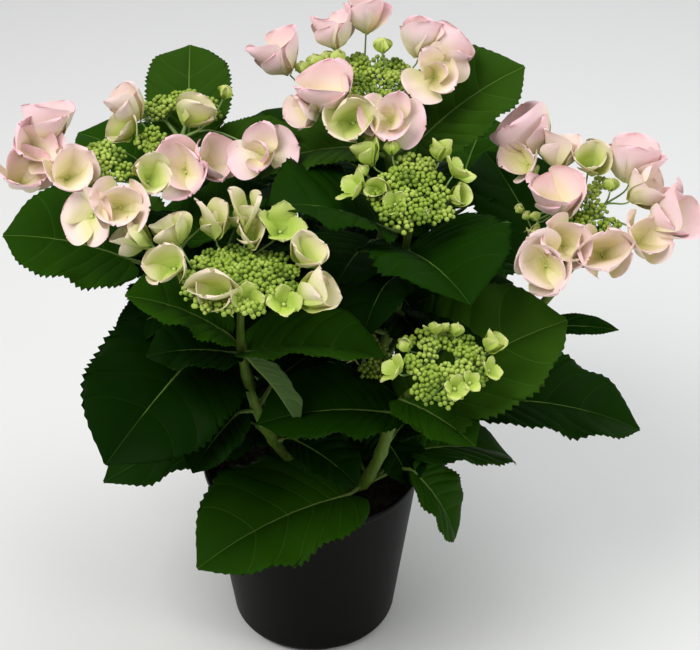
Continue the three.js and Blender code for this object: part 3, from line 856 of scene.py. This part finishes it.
# Each head: lean (bearing and tilt of its axis), dome (radius and rise), the buds' reach, how hollow its
# middle is, where its buds leave a gap (bearing, half width, share of the reach), and its florets: clock,
# reach and lift in the head's own frame, size, form, colours, where it faces (bearing, tilt) and, where it
# matters, its turn. Angles are in degrees and lengths in mm.
HEADS = {
    "far_left": ((250, 22), (34, 22), 25, 0.0, None, [
        (136, 42, 30, 28, "shell", "pink", 90, 18), (167, 42, 22, 25, "cup", "pink", -60, 45),
        (188, 52, 12, 26, "cup", "pink", -40, 30), (224, 20, 16, 25, "cup", "blush", -60, 42),
        (298, 48, 6, 25, "cup", "blush", -85, 52), (267, 43, -2, 23, "open", "blush", -120, 62),
        (337, 49, 8, 20, "cup", "cream", -60, 40)]),
    "back_left": ((250, 18), (38, 22), 35, 0.30, (-50, 55, 2), [
        (174, 36, 22, 27, "fold", "blush", 170, 35, 40), (332, 21, 20, 23, "fold", "cream", 10, 30, 90),
        (278, 57, 4, 29, "cup", "pink", -100, 52), (305, 57, 2, 27, "shell", "pink", -40, 48),
        (326, 87, 6, 27, "rose", "pink", -105, 48), (21, 45, 14, 12, "bud", "lime", 0, 20),
        (192, 41, 6, 19, "cup", "cream", -140, 50)]),
    "front_left": ((275, 3), (48, 21), 42, 0.20, None, [
        (156, 88, 12, 24, "fold", "cream", 180, 62, 0), (144, 63, 16, 21, "cup", "cream", 150, 30),
        (171, 53, 6, 21, "cup", "cream", -120, 45), (238, 30, 9, 25, "fold", "cream", -115, 40, 60),
        (283, 31, 4, 14, "star", "lime", -90, 50), (317, 46, 2, 15, "star", "lime", -70, 40),
        (113, 52, 24, 25, "ears", "cream", 95, 4, 10), (87, 50, 30, 26, "ears", "cream", 85, 6, -10),
        (79, 35, 16, 18, "fold", "cream", -80, 20, 0), (54, 50, 18, 23, "star", "lime", -60, 25),
        (18, 51, 10, 20, "cup", "cream", -30, 25), (338, 61, 6, 27, "fold", "cream", 0, 55, 0),
        (263, 33, 0, 12, "bud", "lime", -90, 50)]),
    "top": ((265, 12), (36, 22), 34, 0.0, None, [
        (168, 76, 16, 31, "shell", "pink", 165, 30, 20), (134, 43, 28, 27, "shell", "pink", 120, 20),
        (94, 45, 34, 28, "shell", "pink", 80, 10), (28, 46, 26, 27, "shell", "pink", 60, 20),
        (16, 65, 22, 27, "shell", "pink", 20, 45), (352, 51, 12, 27, "rose", "blush", -78, 48),
        (217, 45, 12, 32, "shell", "pink", -160, 15), (254, 55, 4, 25, "cup", "cream", -95, 52),
        (286, 54, 4, 27, "rose", "pink", -88, 52), (152, 30, 14, 14, "bud", "lime", 150, 20),
        (66, 23, 20, 14, "bud", "lime", 90, 10), (183, 44, 6, 15, "bud", "lime", 180, 40),
        (213, 63, 0, 22, "fold", "blush", -150, 70, 0), (172, 55, 9, 12, "bud", "lime", 180, 25),
        (166, 46, 13, 13, "bud", "lime", 160, 20), (158, 38, 14, 12, "bud", "lime", 150, 15)]),
    "centre": ((270, 22), (38, 21), 34, 0.12, None, [
        (141, 44, 10, 18, "fold", "lime", 140, 35, 30), (182, 44, 4, 18, "star", "lime", 190, 45),
        (190, 27, 6, 14, "fold", "lime", -120, 45, 60), (115, 36, 12, 13, "bud", "lime", 100, 20),
        (53, 37, 12, 15, "fold", "lime", 70, 20, 0), (19, 37, 8, 17, "star", "lime", 10, 40),
        (351, 36, 0, 14, "fold", "lime", -30, 50, 0), (229, 20, 2, 12, "star", "lime", -100, 50),
        (292, 25, 0, 11, "bud", "lime", -80, 40), (158, 41, 5, 11, "bud", "lime", 190, 30)]),
    "right": ((265, 14), (36, 20), 29, 0.0, (0, 30, 2), [
        (130, 75, 24, 34, "shell", "pink", 160, 35, 70), (146, 63, 14, 24, "cup", "blush", -130, 50),
        (149, 51, 10, 12, "bud", "lime", -120, 40), (122, 42, 24, 27, "fold", "blush", 80, 20, 0),
        (88, 26, 20, 21, "cup", "cream", -90, 25), (39, 46, 18, 33, "shell", "pink", 60, 18),
        (1, 43, 12, 27, "shell", "blush", 0, 50), (340, 66, 6, 34, "shell", "pink", -20, 48),
        (314, 55, 0, 25, "cup", "blush", -60, 45), (276, 54, 0, 34, "fold", "blush", -95, 50, 90),
        (192, 28, 14, 32, "shell", "pink", -90, 14, 10), (243, 53, 4, 26, "cup", "blush", -82, 52),
        (238, 75, -4, 28, "cup", "blush", -100, 58), (212, 55, -3, 14, "bud", "lime", -130, 50),
        (31, 20, 10, 12, "bud", "lime", 60, 20), (188, 57, 3, 8, "bud", "lime", 180, 30),
        (197, 46, 0, 8, "bud", "lime", 200, 20), (193, 52, -1, 7, "bud", "lime", 190, 40)]),
    "front_right": ((275, 18), (42, 27), 34, 0.1, (50, 100, 0.5), [
        (197, 35, 6, 14, "star", "lime", 190, 45), (21, 43, 8, 14, "fold", "lime", 20, 35, 0),
        (353, 38, 2, 12, "star", "lime", -20, 45), (64, 31, 8, 11, "bud", "lime", 60, 30),
        (287, 34, 16, 11, "star", "lime", -70, 45), (152, 29, 6, 11, "bud", "lime", 150, 30),
        (95, 25, 11, 11, "star", "lime", 90, 30), (308, 34, 16, 10, "star", "lime", -50, 40)]),
    "inner": ((320, 35), (23, 16), 18, 0.0, None, [(200, 20, 4, 10, "star", "lime", 200, 30)]),
}
DOME_RIM = 0.82             # height of the dome's edge, as a share of its rise
DOME_SWELL = 0.30           # how much higher its middle is
BUD_SIZE = 2.0 * MM
BUD_MIX = ("bud_green", "bud_green", "bud_pale", "bud_deep")
CLUSTER = 6.6 * MM          # radius of a cluster of buds
CLUSTER_GAP = 1.62 * CLUSTER
FLORET_ROOM = 0.48          # buds keep this far from a floret's heart, as a share of its size
EYE_SIZE = 1.5 * MM
GOLDEN_ANGLE = 2.39996

# Each form of floret: whorls of (count, size, angles at the claw and at the rim, how far the sides curl up).
FORMS = {
    "cup": [(2, 1.25, 36, 66, 0.55), (2, 1.15, 44, 76, 0.65)],
    "open": [(4, 1.02, 26, 10, 0.35)],
    "shell": [(2, 1.30, 42, 84, 0.80), (2, 1.05, 30, 70, 0.70)],
    "rose": [(2, 1.08, 14, 30, 0.40), (2, 1.04, 32, 66, 0.85), (1, 0.85, 54, 96, 1.20)],
    "fold": [(2, 1.25, 60, 80, 0.60), (2, 1.00, 40, 70, 0.65)],
    "ears": [(2, 1.35, 66, 86, 0.40), (2, 0.80, 50, 66, 0.50)],
    "star": [(4, 1.05, 34, 48, 0.30)],
    "bud": [(4, 0.95, 62, 128, 0.60)],
}
# How deep each form is and how broad its sepals are, as shares of its size and of their length.
DEPTHS = {"cup": 0.50, "open": 0.2, "shell": 0.60, "rose": 0.32, "fold": 0.60, "ears": 0.80, "star": 0.3,
          "bud": 0.5}
BREADTHS = {"star": 0.50, "ears": 0.64}
BREADTH_ELSEWHERE = 0.70
BROAD = ((0, 0.15), (0.12, 0.45), (0.3, 0.80), (0.45, 0.96), (0.58, 1.0), (0.70, 0.96), (0.81, 0.84),
         (0.90, 0.66), (0.96, 0.43), (1, 0.13))
POINTED = ((0, 0.14), (0.12, 0.42), (0.3, 0.78), (0.5, 1.0), (0.64, 0.95), (0.78, 0.76), (0.89, 0.48),
           (0.96, 0.22), (1, 0.03))
SEPAL_ALONG = 13            # corners along a sepal and across it
SEPAL_ACROSS = 9
SEPAL_THICK = 0.45 * MM
RUFFLED_LENGTH = 22 * MM    # the length of sepal whose ruffles have their given height
TWIST = 0.20                # each sepal leans over its neighbour by this slope
WHORL_TURN = 1.45           # radians from one whorl's first sepal to the next whorl's
WHORL_LIFT = 1.2 * MM


def sepal_topology():
    """The faces that every sepal shares, and the step of colour of each."""
    count, width = SEPAL_ALONG, SEPAL_ACROSS
    under = count * width
    faces, steps = [], []
    for j in range(count - 1):
        step = int(SEPAL_STEPS * (j + 0.5) / (count - 1))
        for i in range(width - 1):
            a, b = j * width + i, j * width + i + 1
            c, d = a + width, b + width
            faces += [(a, b, d, c), (under + a, under + c, under + d, under + b)]
            steps += [step, step]
    rim = rim_of(count, width)
    for one, other in zip(rim, rim[1:] + rim[:1]):
        faces.append((one, one + under, other + under, other))
        steps.append(min(SEPAL_STEPS - 1, int(SEPAL_STEPS * max(one // width, other // width) / (count - 1))))
    return np.array(faces), np.array(steps)


SEPAL_FACES, SEPAL_BANDS = sepal_topology()


def sepal(length, half, claw, rim, curl, pointed, rng):
    """One sepal along +X with its inner side up: corners of the inner side, then the outer."""
    a = 1 - (1 - np.linspace(0, 1, SEPAL_ALONG)) ** 1.35
    b = np.linspace(-1, 1, SEPAL_ACROSS)
    angle = np.radians(claw + (rim - claw) * a ** 1.3)
    step = length * np.diff(a)
    run = np.concatenate([[0], np.cumsum(np.cos(angle[1:]) * step)]) + 1.0 * MM
    rise = np.concatenate([[0], np.cumsum(np.sin(angle[1:]) * step)])
    broad = through(*np.array(POINTED if pointed else BROAD).T, a) * half
    if pointed:
        broad = broad * (1 - 0.13 * (np.arange(SEPAL_ALONG) % 2) * (a > 0.35))
    phase = rng.uniform(0, 6.28, 3)
    flat = np.zeros_like(a)
    up = np.stack([-np.sin(angle), flat, np.cos(angle)], -1)[:, None, :]
    spine = np.stack([run, flat, rise], -1)[:, None, :]
    bow = half / (curl * 1.5)
    a, broad = a[:, None], broad[:, None]
    turn = b * broad / bow
    ruffle = (0.6 * np.sin(7 * a + phase[0]) * np.sin(3.1 * b + phase[1])
              + 0.7 * np.sin(5.6 * b + phase[1] * 2) * a ** 3
              + 0.6 * np.sin(10 * a + phase[2]) * b ** 3) * MM * length / RUFFLED_LENGTH
    ribs = 0.16 * MM * np.cos(b * 9) * np.sin(math.pi * a)
    twist = TWIST * b * broad * np.minimum(1, a * 2)
    lift = (1 - np.cos(turn)) * bow + ruffle + ribs + twist
    top = spine + np.array([0, 1.0, 0]) * (np.sin(turn) * bow)[..., None] + up * lift[..., None]
    low = top - up * (SEPAL_THICK * (1 - 0.5 * np.abs(b)))[:, None]
    return np.concatenate([top.reshape(-1, 3), low.reshape(-1, 3)])


def facing(bearing, tilt, spin):
    """Axes of something that faces a bearing, tilted from upright, turned about its own axis."""
    about = Matrix.Rotation(math.radians(bearing), 3, "Z")
    return np.array(about @ Matrix.Rotation(math.radians(tilt), 3, "Y") @ Matrix.Rotation(spin, 3, "Z"))


class Blossom:
    """What the heads are made of, gathered until it is joined."""

    def __init__(self):
        self.branches = []
        self.pedicels = []
        self.buds = {}
        self.corners = []
        self.faces = []
        self.slots = []

    def add_bud(self, tone, place, size):
        self.buds.setdefault(tone, []).append((place, size))

    def add_sepal(self, points, colours):
        self.faces.append(SEPAL_FACES + len(self.corners) * len(points))
        self.corners.append(points)
        self.slots.append(SEPAL_BANDS + SEPAL_STEPS * list(SEPAL_TONES).index(colours))


class Head:
    """One flower head: the frame that it stands in, its branches, buds and florets."""

    def __init__(self, name, blossom, rng):
        (bearing, tilt), (radius, rise), reach, self.hollow, self.gap, rows = HEADS[name]
        self.seat = cane_of[name].line[-1]
        self.thickness = cane_of[name].radius[-1]
        lean = math.radians(bearing)
        hinge = Vector((-math.sin(lean), math.cos(lean), 0))
        self.axes = np.array(Matrix.Rotation(math.radians(tilt), 3, hinge))
        self.rise = rise * MM
        self.reach = reach * MM
        self.blossom = blossom
        self.rng = rng
        self.mains = self.branch_out(5 if radius > 25 else 3)
        florets = [self.read_floret(*row) for row in rows]
        self.bud_clusters([floret[:2] for floret in florets])
        for floret in florets:
            self.floret(*floret)

    def place(self, local):
        """Where points in the head's own frame lie."""
        return self.seat + np.asarray(local) @ self.axes.T

    def branch_out(self, count):
        """The main branches; gives where each ends."""
        ends = []
        turn = self.rng.uniform(0, 6.28)
        for k in range(count):
            clock = turn + k * 2 * math.pi / count + self.rng.uniform(-0.2, 0.2)
            end = np.array([math.cos(clock), math.sin(clock), 0]) * self.reach * 0.5
            end[2] = self.rise * 0.42
            route = bezier(np.array([0, 0, -6 * MM]), np.array([0, 0, 1 * MM]), end * 0.6, end, 6)
            radii = np.linspace(self.thickness * 0.95, 1.15 * MM, 6)
            self.blossom.branches.append((self.place(route), radii))
            ends.append(end)
        return ends

    def read_floret(self, clock, reach, lift, size, form, colours, bearing, tilt, turn=None):
        """Where a floret's heart is, its size, form and colours, and the axes that it is turned to."""
        clock = math.radians(clock)
        spot = np.array([math.cos(clock) * reach, math.sin(clock) * reach, self.rise / MM * DOME_RIM + lift])
        spin = self.rng.uniform(0, 6.28) if turn is None else math.radians(turn - bearing)
        axes = facing(bearing, tilt, spin)
        return self.place(spot * MM) - axes[:, 2] * DEPTHS[form] * size * MM, size * MM, form, colours, axes

    def cluster_spots(self):
        """The middles of the clusters, in rings, apart from the head's hollow and its gap."""
        rng = self.rng
        full = self.reach - CLUSTER * 0.6
        rings = max(1, round(full / CLUSTER_GAP))
        for ring in range(rings + 1):
            distance = full * ring / rings
            if distance < self.reach * self.hollow:
                continue
            about = max(1, round(2 * math.pi * distance / (CLUSTER_GAP * 1.12)))
            turn = rng.uniform(0, 6.28)
            for k in range(about):
                clock = turn + k * 2 * math.pi / about + rng.uniform(-0.15, 0.15)
                reach = distance + rng.uniform(-0.20, 0.20) * CLUSTER_GAP
                if self.gap:
                    towards, half, share = self.gap
                    inside = math.cos(clock - math.radians(towards)) > math.cos(math.radians(half))
                    if inside and distance < share * self.reach:
                        continue
                yield math.cos(clock) * reach, math.sin(clock) * reach

    def bud_clusters(self, hearts):
        """Lumpy clusters of closed buds over the dome, each bud on its own fine stalk."""
        rng = self.rng
        for x, y in list(self.cluster_spots()):
            share = min(1.0, math.hypot(x, y) / self.reach)
            top = self.rise * (DOME_RIM + DOME_SWELL * (1 - share ** 2)) + rng.uniform(-3.0, 2.0) * MM
            middle = self.place((x, y, top))
            if any(norm(middle - heart) < size * FLORET_ROOM for heart, size in hearts):
                continue
            node = np.array([x * 0.9, y * 0.9, top - 7.5 * MM])
            main = min(self.mains, key=lambda end: norm(end - node))
            route = bezier(main * 0.92, main * 1.05 + (0, 0, 1.5 * MM), node - (0, 0, 3 * MM), node, 5)
            self.pedicel(route, np.linspace(0.85, 0.55, 5))
            tone = str(rng.choice(BUD_MIX))
            amount = int(rng.integers(12, 17))
            reach = CLUSTER * rng.uniform(0.88, 1.08)
            for k in range(amount):
                high = 1 - 0.98 * (k + 0.5) / amount
                clock = GOLDEN_ANGLE * k + x * 900
                wide = math.sqrt(1 - high ** 2) * reach
                tip = np.array([x + math.cos(clock) * wide, y + math.sin(clock) * wide,
                                top - reach * 0.55 + high * reach * 0.8]) + rng.uniform(-0.5, 0.5, 3) * MM
                self.blossom.add_bud(tone, self.place(tip), BUD_SIZE * rng.uniform(0.78, 1.12))
                self.pedicel([node, node * 0.45 + tip * 0.55 - (0, 0, 0.6 * MM), tip], (0.42, 0.36, 0.32))

    def pedicel(self, route, radii):
        """A fine stalk along a route in the head's own frame; its radii are in mm."""
        self.blossom.pedicels.append((self.place(route), np.array(radii) * MM))

    def floret(self, heart, size, form, colours, axes):
        """A floret's whorls of sepals about its heart, its eye and its stalk."""
        rng = self.rng
        normal = axes[:, 2]
        pointed = form == "star"
        for whorl, (count, share, claw, rim, curl) in enumerate(FORMS[form]):
            for k in range(count):
                about = whorl * WHORL_TURN + 2 * math.pi * k / count + rng.uniform(-0.12, 0.12)
                length = size * share * rng.uniform(0.92, 1.04)
                half = length * BREADTHS.get(form, BREADTH_ELSEWHERE) * rng.uniform(0.92, 1.06)
                points = sepal(length, half, claw + rng.uniform(-6, 6), rim + rng.uniform(-10, 10),
                               curl * rng.uniform(0.8, 1.2), pointed, rng)
                points[:, 2] += (k % 2) * 0.5 * MM + whorl * WHORL_LIFT
                spin = np.array(Matrix.Rotation(about, 3, "Z"))
                self.blossom.add_sepal(heart + points @ spin.T @ axes.T, colours)
        self.blossom.add_bud("floret_eye", heart + normal * EYE_SIZE, EYE_SIZE)
        main = min(self.mains, key=lambda end: norm(self.place(end) - heart))
        near = self.place(main * 0.85)
        far = heart - normal * 0.5 * MM
        reach = norm(far - near)
        route = bezier(near, near + unit(self.place(main) - self.seat) * reach * 0.35,
                       far - normal * reach * 0.3, far, 8)
        self.blossom.branches.append((route, np.linspace(0.95, 0.65, 8) * MM))


def bud_tree():
    """A round bud at each point, as large as its girth."""
    tree = Tree("buds", {"Segments": ("Int", 7), "Rings": ("Int", 5)})
    ball = tree.node("GeometryNodeMeshUVSphere", sockets={
        "Segments": tree.given("Segments"), "Rings": tree.given("Rings"), "Radius": 1.0})
    ball = tree.node("GeometryNodeSetShadeSmooth", sockets={"Geometry": ball})
    points = tree.node("GeometryNodeMeshToPoints", sockets={"Mesh": tree.given("Geometry")})
    turn = tree.node("FunctionNodeRandomValue", {"data_type": "FLOAT_VECTOR"}, {
        "Max": (6.28, 6.28, 6.28), "Seed": SEED})
    return tree.finish(tree.node("GeometryNodeInstanceOnPoints", sockets={
        "Points": points, "Instance": ball, "Rotation": turn, "Scale": tree.named("girth")}))


def joined(name, parts):
    """Several finished meshes as one."""
    for part in bpy.context.selected_objects:
        part.select_set(False)
    for part in parts:
        part.select_set(True)
    bpy.context.view_layer.objects.active = parts[0]
    bpy.ops.object.join()
    parts[0].name = name
    parts[0].data.name = name
    return parts[0]


def dress_flowers():
    """All the heads as four pieces: buds, sepals, branches and fine stalks."""
    rng = np.random.default_rng(SEED + 1)
    blossom = Blossom()
    for name in HEADS:
        Head(name, blossom, rng)
    tree = bud_tree()
    balls = []
    for tone, spots in blossom.buds.items():
        places, sizes = zip(*spots)
        source = girthed(tone + "_spots", places, [], sizes)
        balls.append(grown(source, tree, {"Material": bud_paint[tone]}, tone))
    buds = joined("flower_buds", balls)
    sepals = mesh_object("sepals", np.vstack(blossom.corners), np.vstack(blossom.faces).tolist(), sepal_paint,
                         np.concatenate(blossom.slots))
    sepals.data.set_sharp_from_angle(angle=math.radians(50))
    branches = stalks("flower_branches", blossom.branches, pedicel_green, sides=7)
    pedicels = stalks("bud_stalks", blossom.pedicels, pedicel_green, sides=4)
    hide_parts(*["flowers_" + name for name in HEADS])
    return [buds, sepals, branches, pedicels]


flower_pieces = dress_flowers()

# ------------------------------------------------------------------ pot and compost

POT_TURNS = 112
COMPOST_TURNS = 120
CROWN_TURNS = 64
POT_WALL = 1.8 * MM
POT_FLOOR = 5.6 * MM
POT_FOOT = 62 * MM
POT_WAIST = 72.5 * MM       # radius where the rounded foot meets the wall
POT_WAIST_HEIGHT = 10.5 * MM
LIP_HEIGHT = 7 * MM
LIP_OUT = 2 * MM            # how far the lip stands out beyond the wall
LIP_PROFILE = ((0.0, 0.0), (0.25, 0.25), (1.2, 0.55), (1.75, 1.0), (2.0, 1.7), (2.0, 5.2), (1.8, 6.2),
               (1.2, 6.8), (0.5, 7.0), (-0.4, 6.9), (-1.2, 6.4), (-1.75, 5.5))      # mm out and up
DRAIN_FROM = 52 * MM
DRAIN_HALF = 15 * MM
DRAIN_HEIGHT = 4.5 * MM
DRAIN_BEARING = -74
COMPOST_TOP = 150 * MM
COMPOST_FOOT = 8 * MM
LUMPS = ((70, 3.2), (190, 1.8), (480, 0.9))     # fineness and height in mm of the compost's lumps
CRUMB_ROOM = 2.4 * MM       # crumbs keep this far from the pot's wall
pot_low, pot_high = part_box("pot")
RIM_HEIGHT = pot_high.z
WALL_TOP = (pot_high.x - pot_low.x) / 2 - LIP_OUT
LIP_FOOT = RIM_HEIGHT - LIP_HEIGHT
WALL_HEIGHT = LIP_FOOT - POT_WAIST_HEIGHT


def lathe(name, profile, turns, material, shift):
    """A closed turned solid; the profile starts and ends on the axis. shift moves its corners."""
    ring = np.asarray(profile[1:-1], float)
    clocks = np.arange(turns) * 2 * math.pi / turns
    points = shift(np.stack([ring[:, :1] * np.cos(clocks), ring[:, :1] * np.sin(clocks),
                             np.repeat(ring[:, 1:], turns, 1)], -1).reshape(-1, 3))
    first, last = len(points), len(points) + 1
    points = np.vstack([points, [0, 0, profile[0][1]], [0, 0, profile[-1][1]]])
    top = (len(ring) - 1) * turns
    faces = []
    for k in range(turns):
        ahead = (k + 1) % turns
        faces.append((first, ahead, k))
        for row in range(0, top, turns):
            faces.append((row + k, row + ahead, row + ahead + turns, row + k + turns))
        faces.append((last, top + k, top + ahead))
    return mesh_object(name, points, faces, [material])


def drain_arches(points):
    """Lifts the foot over the low arches that let water out."""
    clocks = np.arctan2(points[:, 1], points[:, 0])
    reach = np.hypot(points[:, 0], points[:, 1])
    for k in range(4):
        middle = math.radians(DRAIN_BEARING + 90 * k)
        across = np.sin(clocks - middle) * reach
        inside = (np.cos(clocks - middle) > 0) & (np.abs(across) < DRAIN_HALF) & (reach > DRAIN_FROM)
        arch = DRAIN_HEIGHT * np.sqrt(np.clip(1 - (across / DRAIN_HALF) ** 2, 0, 1))
        points[:, 2] = np.where(inside, np.maximum(points[:, 2], arch), points[:, 2])
    return points


def on_wall(share):
    """Radius and height on the pot's wall, from its waist to the lip."""
    return POT_WAIST + (WALL_TOP - POT_WAIST) * share, POT_WAIST_HEIGHT + WALL_HEIGHT * share


def inner_radius(z):
    """Radius of the pot's inner wall at a height."""
    return on_wall((z - POT_WAIST_HEIGHT) / WALL_HEIGHT)[0] - POT_WALL


def make_pot():
    profile = [(0, 0), (DRAIN_FROM - 0.6 * MM, 0), (DRAIN_FROM + 0.2 * MM, 0), (POT_FOOT, 0)]
    rounding = POT_WAIST - POT_FOOT
    for turn in np.radians(np.arange(10, 91, 10)):
        profile.append((POT_FOOT + rounding * math.sin(turn), rounding * (1 - math.cos(turn))))
    profile += [on_wall(share) for share in np.linspace(0.08, 0.985, 16)]
    profile += [(WALL_TOP + out * MM, LIP_FOOT + up * MM) for out, up in LIP_PROFILE]
    profile += [(inner_radius(z), z) for z in np.linspace(LIP_FOOT - 2 * MM, POT_WAIST_HEIGHT, 8)]
    profile += [(POT_FOOT, POT_FLOOR), (0, POT_FLOOR)]
    return lathe("pot_shell", profile, POT_TURNS, pot_plastic, drain_arches)


def make_compost():
    radius = inner_radius(COMPOST_TOP) - 0.25 * MM
    profile = [(0, COMPOST_FOOT), (POT_FOOT - 4 * MM, COMPOST_FOOT),
               (inner_radius(30 * MM) - 0.3 * MM, 30 * MM), (radius - 0.7 * MM, COMPOST_TOP - 8 * MM)]
    profile += [(radius * share, COMPOST_TOP) for share in np.linspace(1, 0.02, 40)] + [(0, COMPOST_TOP)]

    def lumpy(points):
        for k in np.nonzero(points[:, 2] > COMPOST_TOP - 1 * MM)[0]:
            spot = Vector(points[k])
            lump = sum(noise.noise(spot * fine) * high for fine, high in LUMPS)
            points[k, 2] += (lump - 0.6) * MM
        return points

    return lathe("compost_bed", profile, COMPOST_TURNS, compost_brown, lumpy)


def crumb_tree():
    """Crumbs of bark and fibre strewn on the upward faces of the bed."""
    tree = Tree("crumbs", {"Density": ("Float", 60000.0), "Seed": ("Int", SEED),
                           "Smallest": ("Float", 0.6 * MM), "Largest": ("Float", 2.6 * MM)})

    def height(vector):
        return tree.node("ShaderNodeSeparateXYZ", sockets=[vector], output=2)

    def even(title):
        return tree.node("ShaderNodeCombineXYZ", sockets=[tree.given(title)] * 3)

    where = tree.node("GeometryNodeInputPosition")
    level = tree.node("ShaderNodeVectorMath", {"operation": "MULTIPLY"}, [where, (1, 1, 0)])
    reach = tree.node("ShaderNodeVectorMath", {"operation": "LENGTH"}, [level], output=1)
    chosen = True
    for kind, value, limit in (("GREATER_THAN", height(tree.node("GeometryNodeInputNormal")), 0.3),
                               ("GREATER_THAN", height(where), COMPOST_TOP - 6 * MM),
                               ("LESS_THAN", reach, inner_radius(COMPOST_TOP) - CRUMB_ROOM)):
        test = tree.node("FunctionNodeCompare", {"operation": kind}, [value, limit])
        chosen = tree.node("FunctionNodeBooleanMath", {"operation": "AND"}, [chosen, test])
    points = tree.node("GeometryNodeDistributePointsOnFaces", sockets={
        "Mesh": tree.given("Geometry"), "Selection": chosen, "Density": tree.given("Density"),
        "Seed": tree.given("Seed")})
    crumb = tree.node("GeometryNodeMeshIcoSphere", sockets={"Radius": 1.0, "Subdivisions": 1})
    turn = tree.node("FunctionNodeRandomValue", {"data_type": "FLOAT_VECTOR"}, {"Max": (6.28, 6.28, 6.28)})
    size = tree.node("FunctionNodeRandomValue", {"data_type": "FLOAT_VECTOR"}, {
        "Min": even("Smallest"), "Max": even("Largest")})
    return tree.finish(tree.node("GeometryNodeInstanceOnPoints", sockets={
        "Points": points, "Instance": crumb, "Rotation": turn, "Scale": size}))


def make_crown():
    low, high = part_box("crown_stem")
    flare = (high.x - low.x) / 2
    foot = low.z - 4 * MM
    profile = [(0, foot)]
    for share in np.linspace(0, 1, 16):
        radius = 0.60 + 0.40 * (1 - share) ** 3.2 - 0.06 * share
        profile.append((flare * radius, foot + (high.z - foot) * share))
    profile += [(flare * 0.35, high.z + 1.5 * MM), (0, high.z + 1.8 * MM)]

    def gnarled(points):
        for k, point in enumerate(points):
            spot = Vector(point)
            ribs = 0.10 * math.sin(4 * math.atan2(point[1], point[0]) + 1.1)
            points[k, :2] *= 1 + ribs + 0.16 * noise.noise(spot * 110) + 0.05 * noise.noise(spot * 420)
        return points

    return lathe("crown_wood", profile, CROWN_TURNS, old_wood, gnarled)


def dress_pot():
    shell = make_pot()
    bed = make_compost()
    source = placed("crumb_bed", bed.data.copy())
    crumbs = grown(source, crumb_tree(), {"Material": crumb_brown}, "compost_crumbs")
    stump = make_crown()
    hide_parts("pot")
    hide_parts("compost")
    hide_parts("crown_stem")
    return [shell, bed, crumbs, stump]


pot_pieces = dress_pot()
for piece in [*leaf_pieces, wood, *flower_pieces, *pot_pieces]:
    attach(piece, "root")

# ------------------------------------------------------------------ stage

AIM = Vector((0.0325, 0.0, 0.304))
DISTANCE = 1.433
ELEVATION = 34.5
FLOOR = -0.3 * MM
FLOOR_REACH = 6
LIGHTS = {      # place, power, size, colour
    "window": ((-0.9, -0.7, 1.9), 29, 1.3, (1.0, 0.98, 0.96)),
    "sky": ((0.7, 0.6, 2.0), 16, 1.6, (0.95, 0.98, 1.0)),
    "side": ((1.6, -0.8, 0.9), 8, 0.7, (1.0, 0.99, 0.97)),
}


def set_stage():
    corners = [(x * FLOOR_REACH, y * FLOOR_REACH, FLOOR) for x, y in ((-1, -1), (1, -1), (1, 1), (-1, 1))]
    mesh_object("floor", corners, [(0, 1, 2, 3)], [plain("floor_pale", (0.80, 0.80, 0.79), 0.9)],
                         smooth=False)
    world = bpy.data.worlds.new("daylight")
    world.use_nodes = True
    world.node_tree.nodes["Background"].inputs["Color"].default_value = (0.97, 0.99, 1.0, 1)
    world.node_tree.nodes["Background"].inputs["Strength"].default_value = 0.45
    bpy.context.scene.world = world
    bpy.context.scene.view_settings.view_transform = "Standard"
    for name, (place, power, size, colour) in LIGHTS.items():
        light = bpy.data.lights.new(name, "AREA")
        light.shape = "DISK"
        light.size = size
        light.energy = power
        light.color = colour
        lamp = placed(name, light)
        lamp.location = place
        lamp.rotation_euler = (AIM - Vector(place)).to_track_quat("-Z", "Y").to_euler()


def set_camera():
    lens = bpy.data.cameras.new("camera")
    lens.lens = 90
    lens.sensor_width = 36
    camera = placed("camera", lens)
    rise = math.radians(ELEVATION)
    camera.location = AIM + Vector((0, -math.cos(rise), math.sin(rise))) * DISTANCE
    camera.rotation_euler = (math.radians(90 - ELEVATION), 0, 0)
    bpy.context.scene.camera = camera


set_stage()
set_camera()
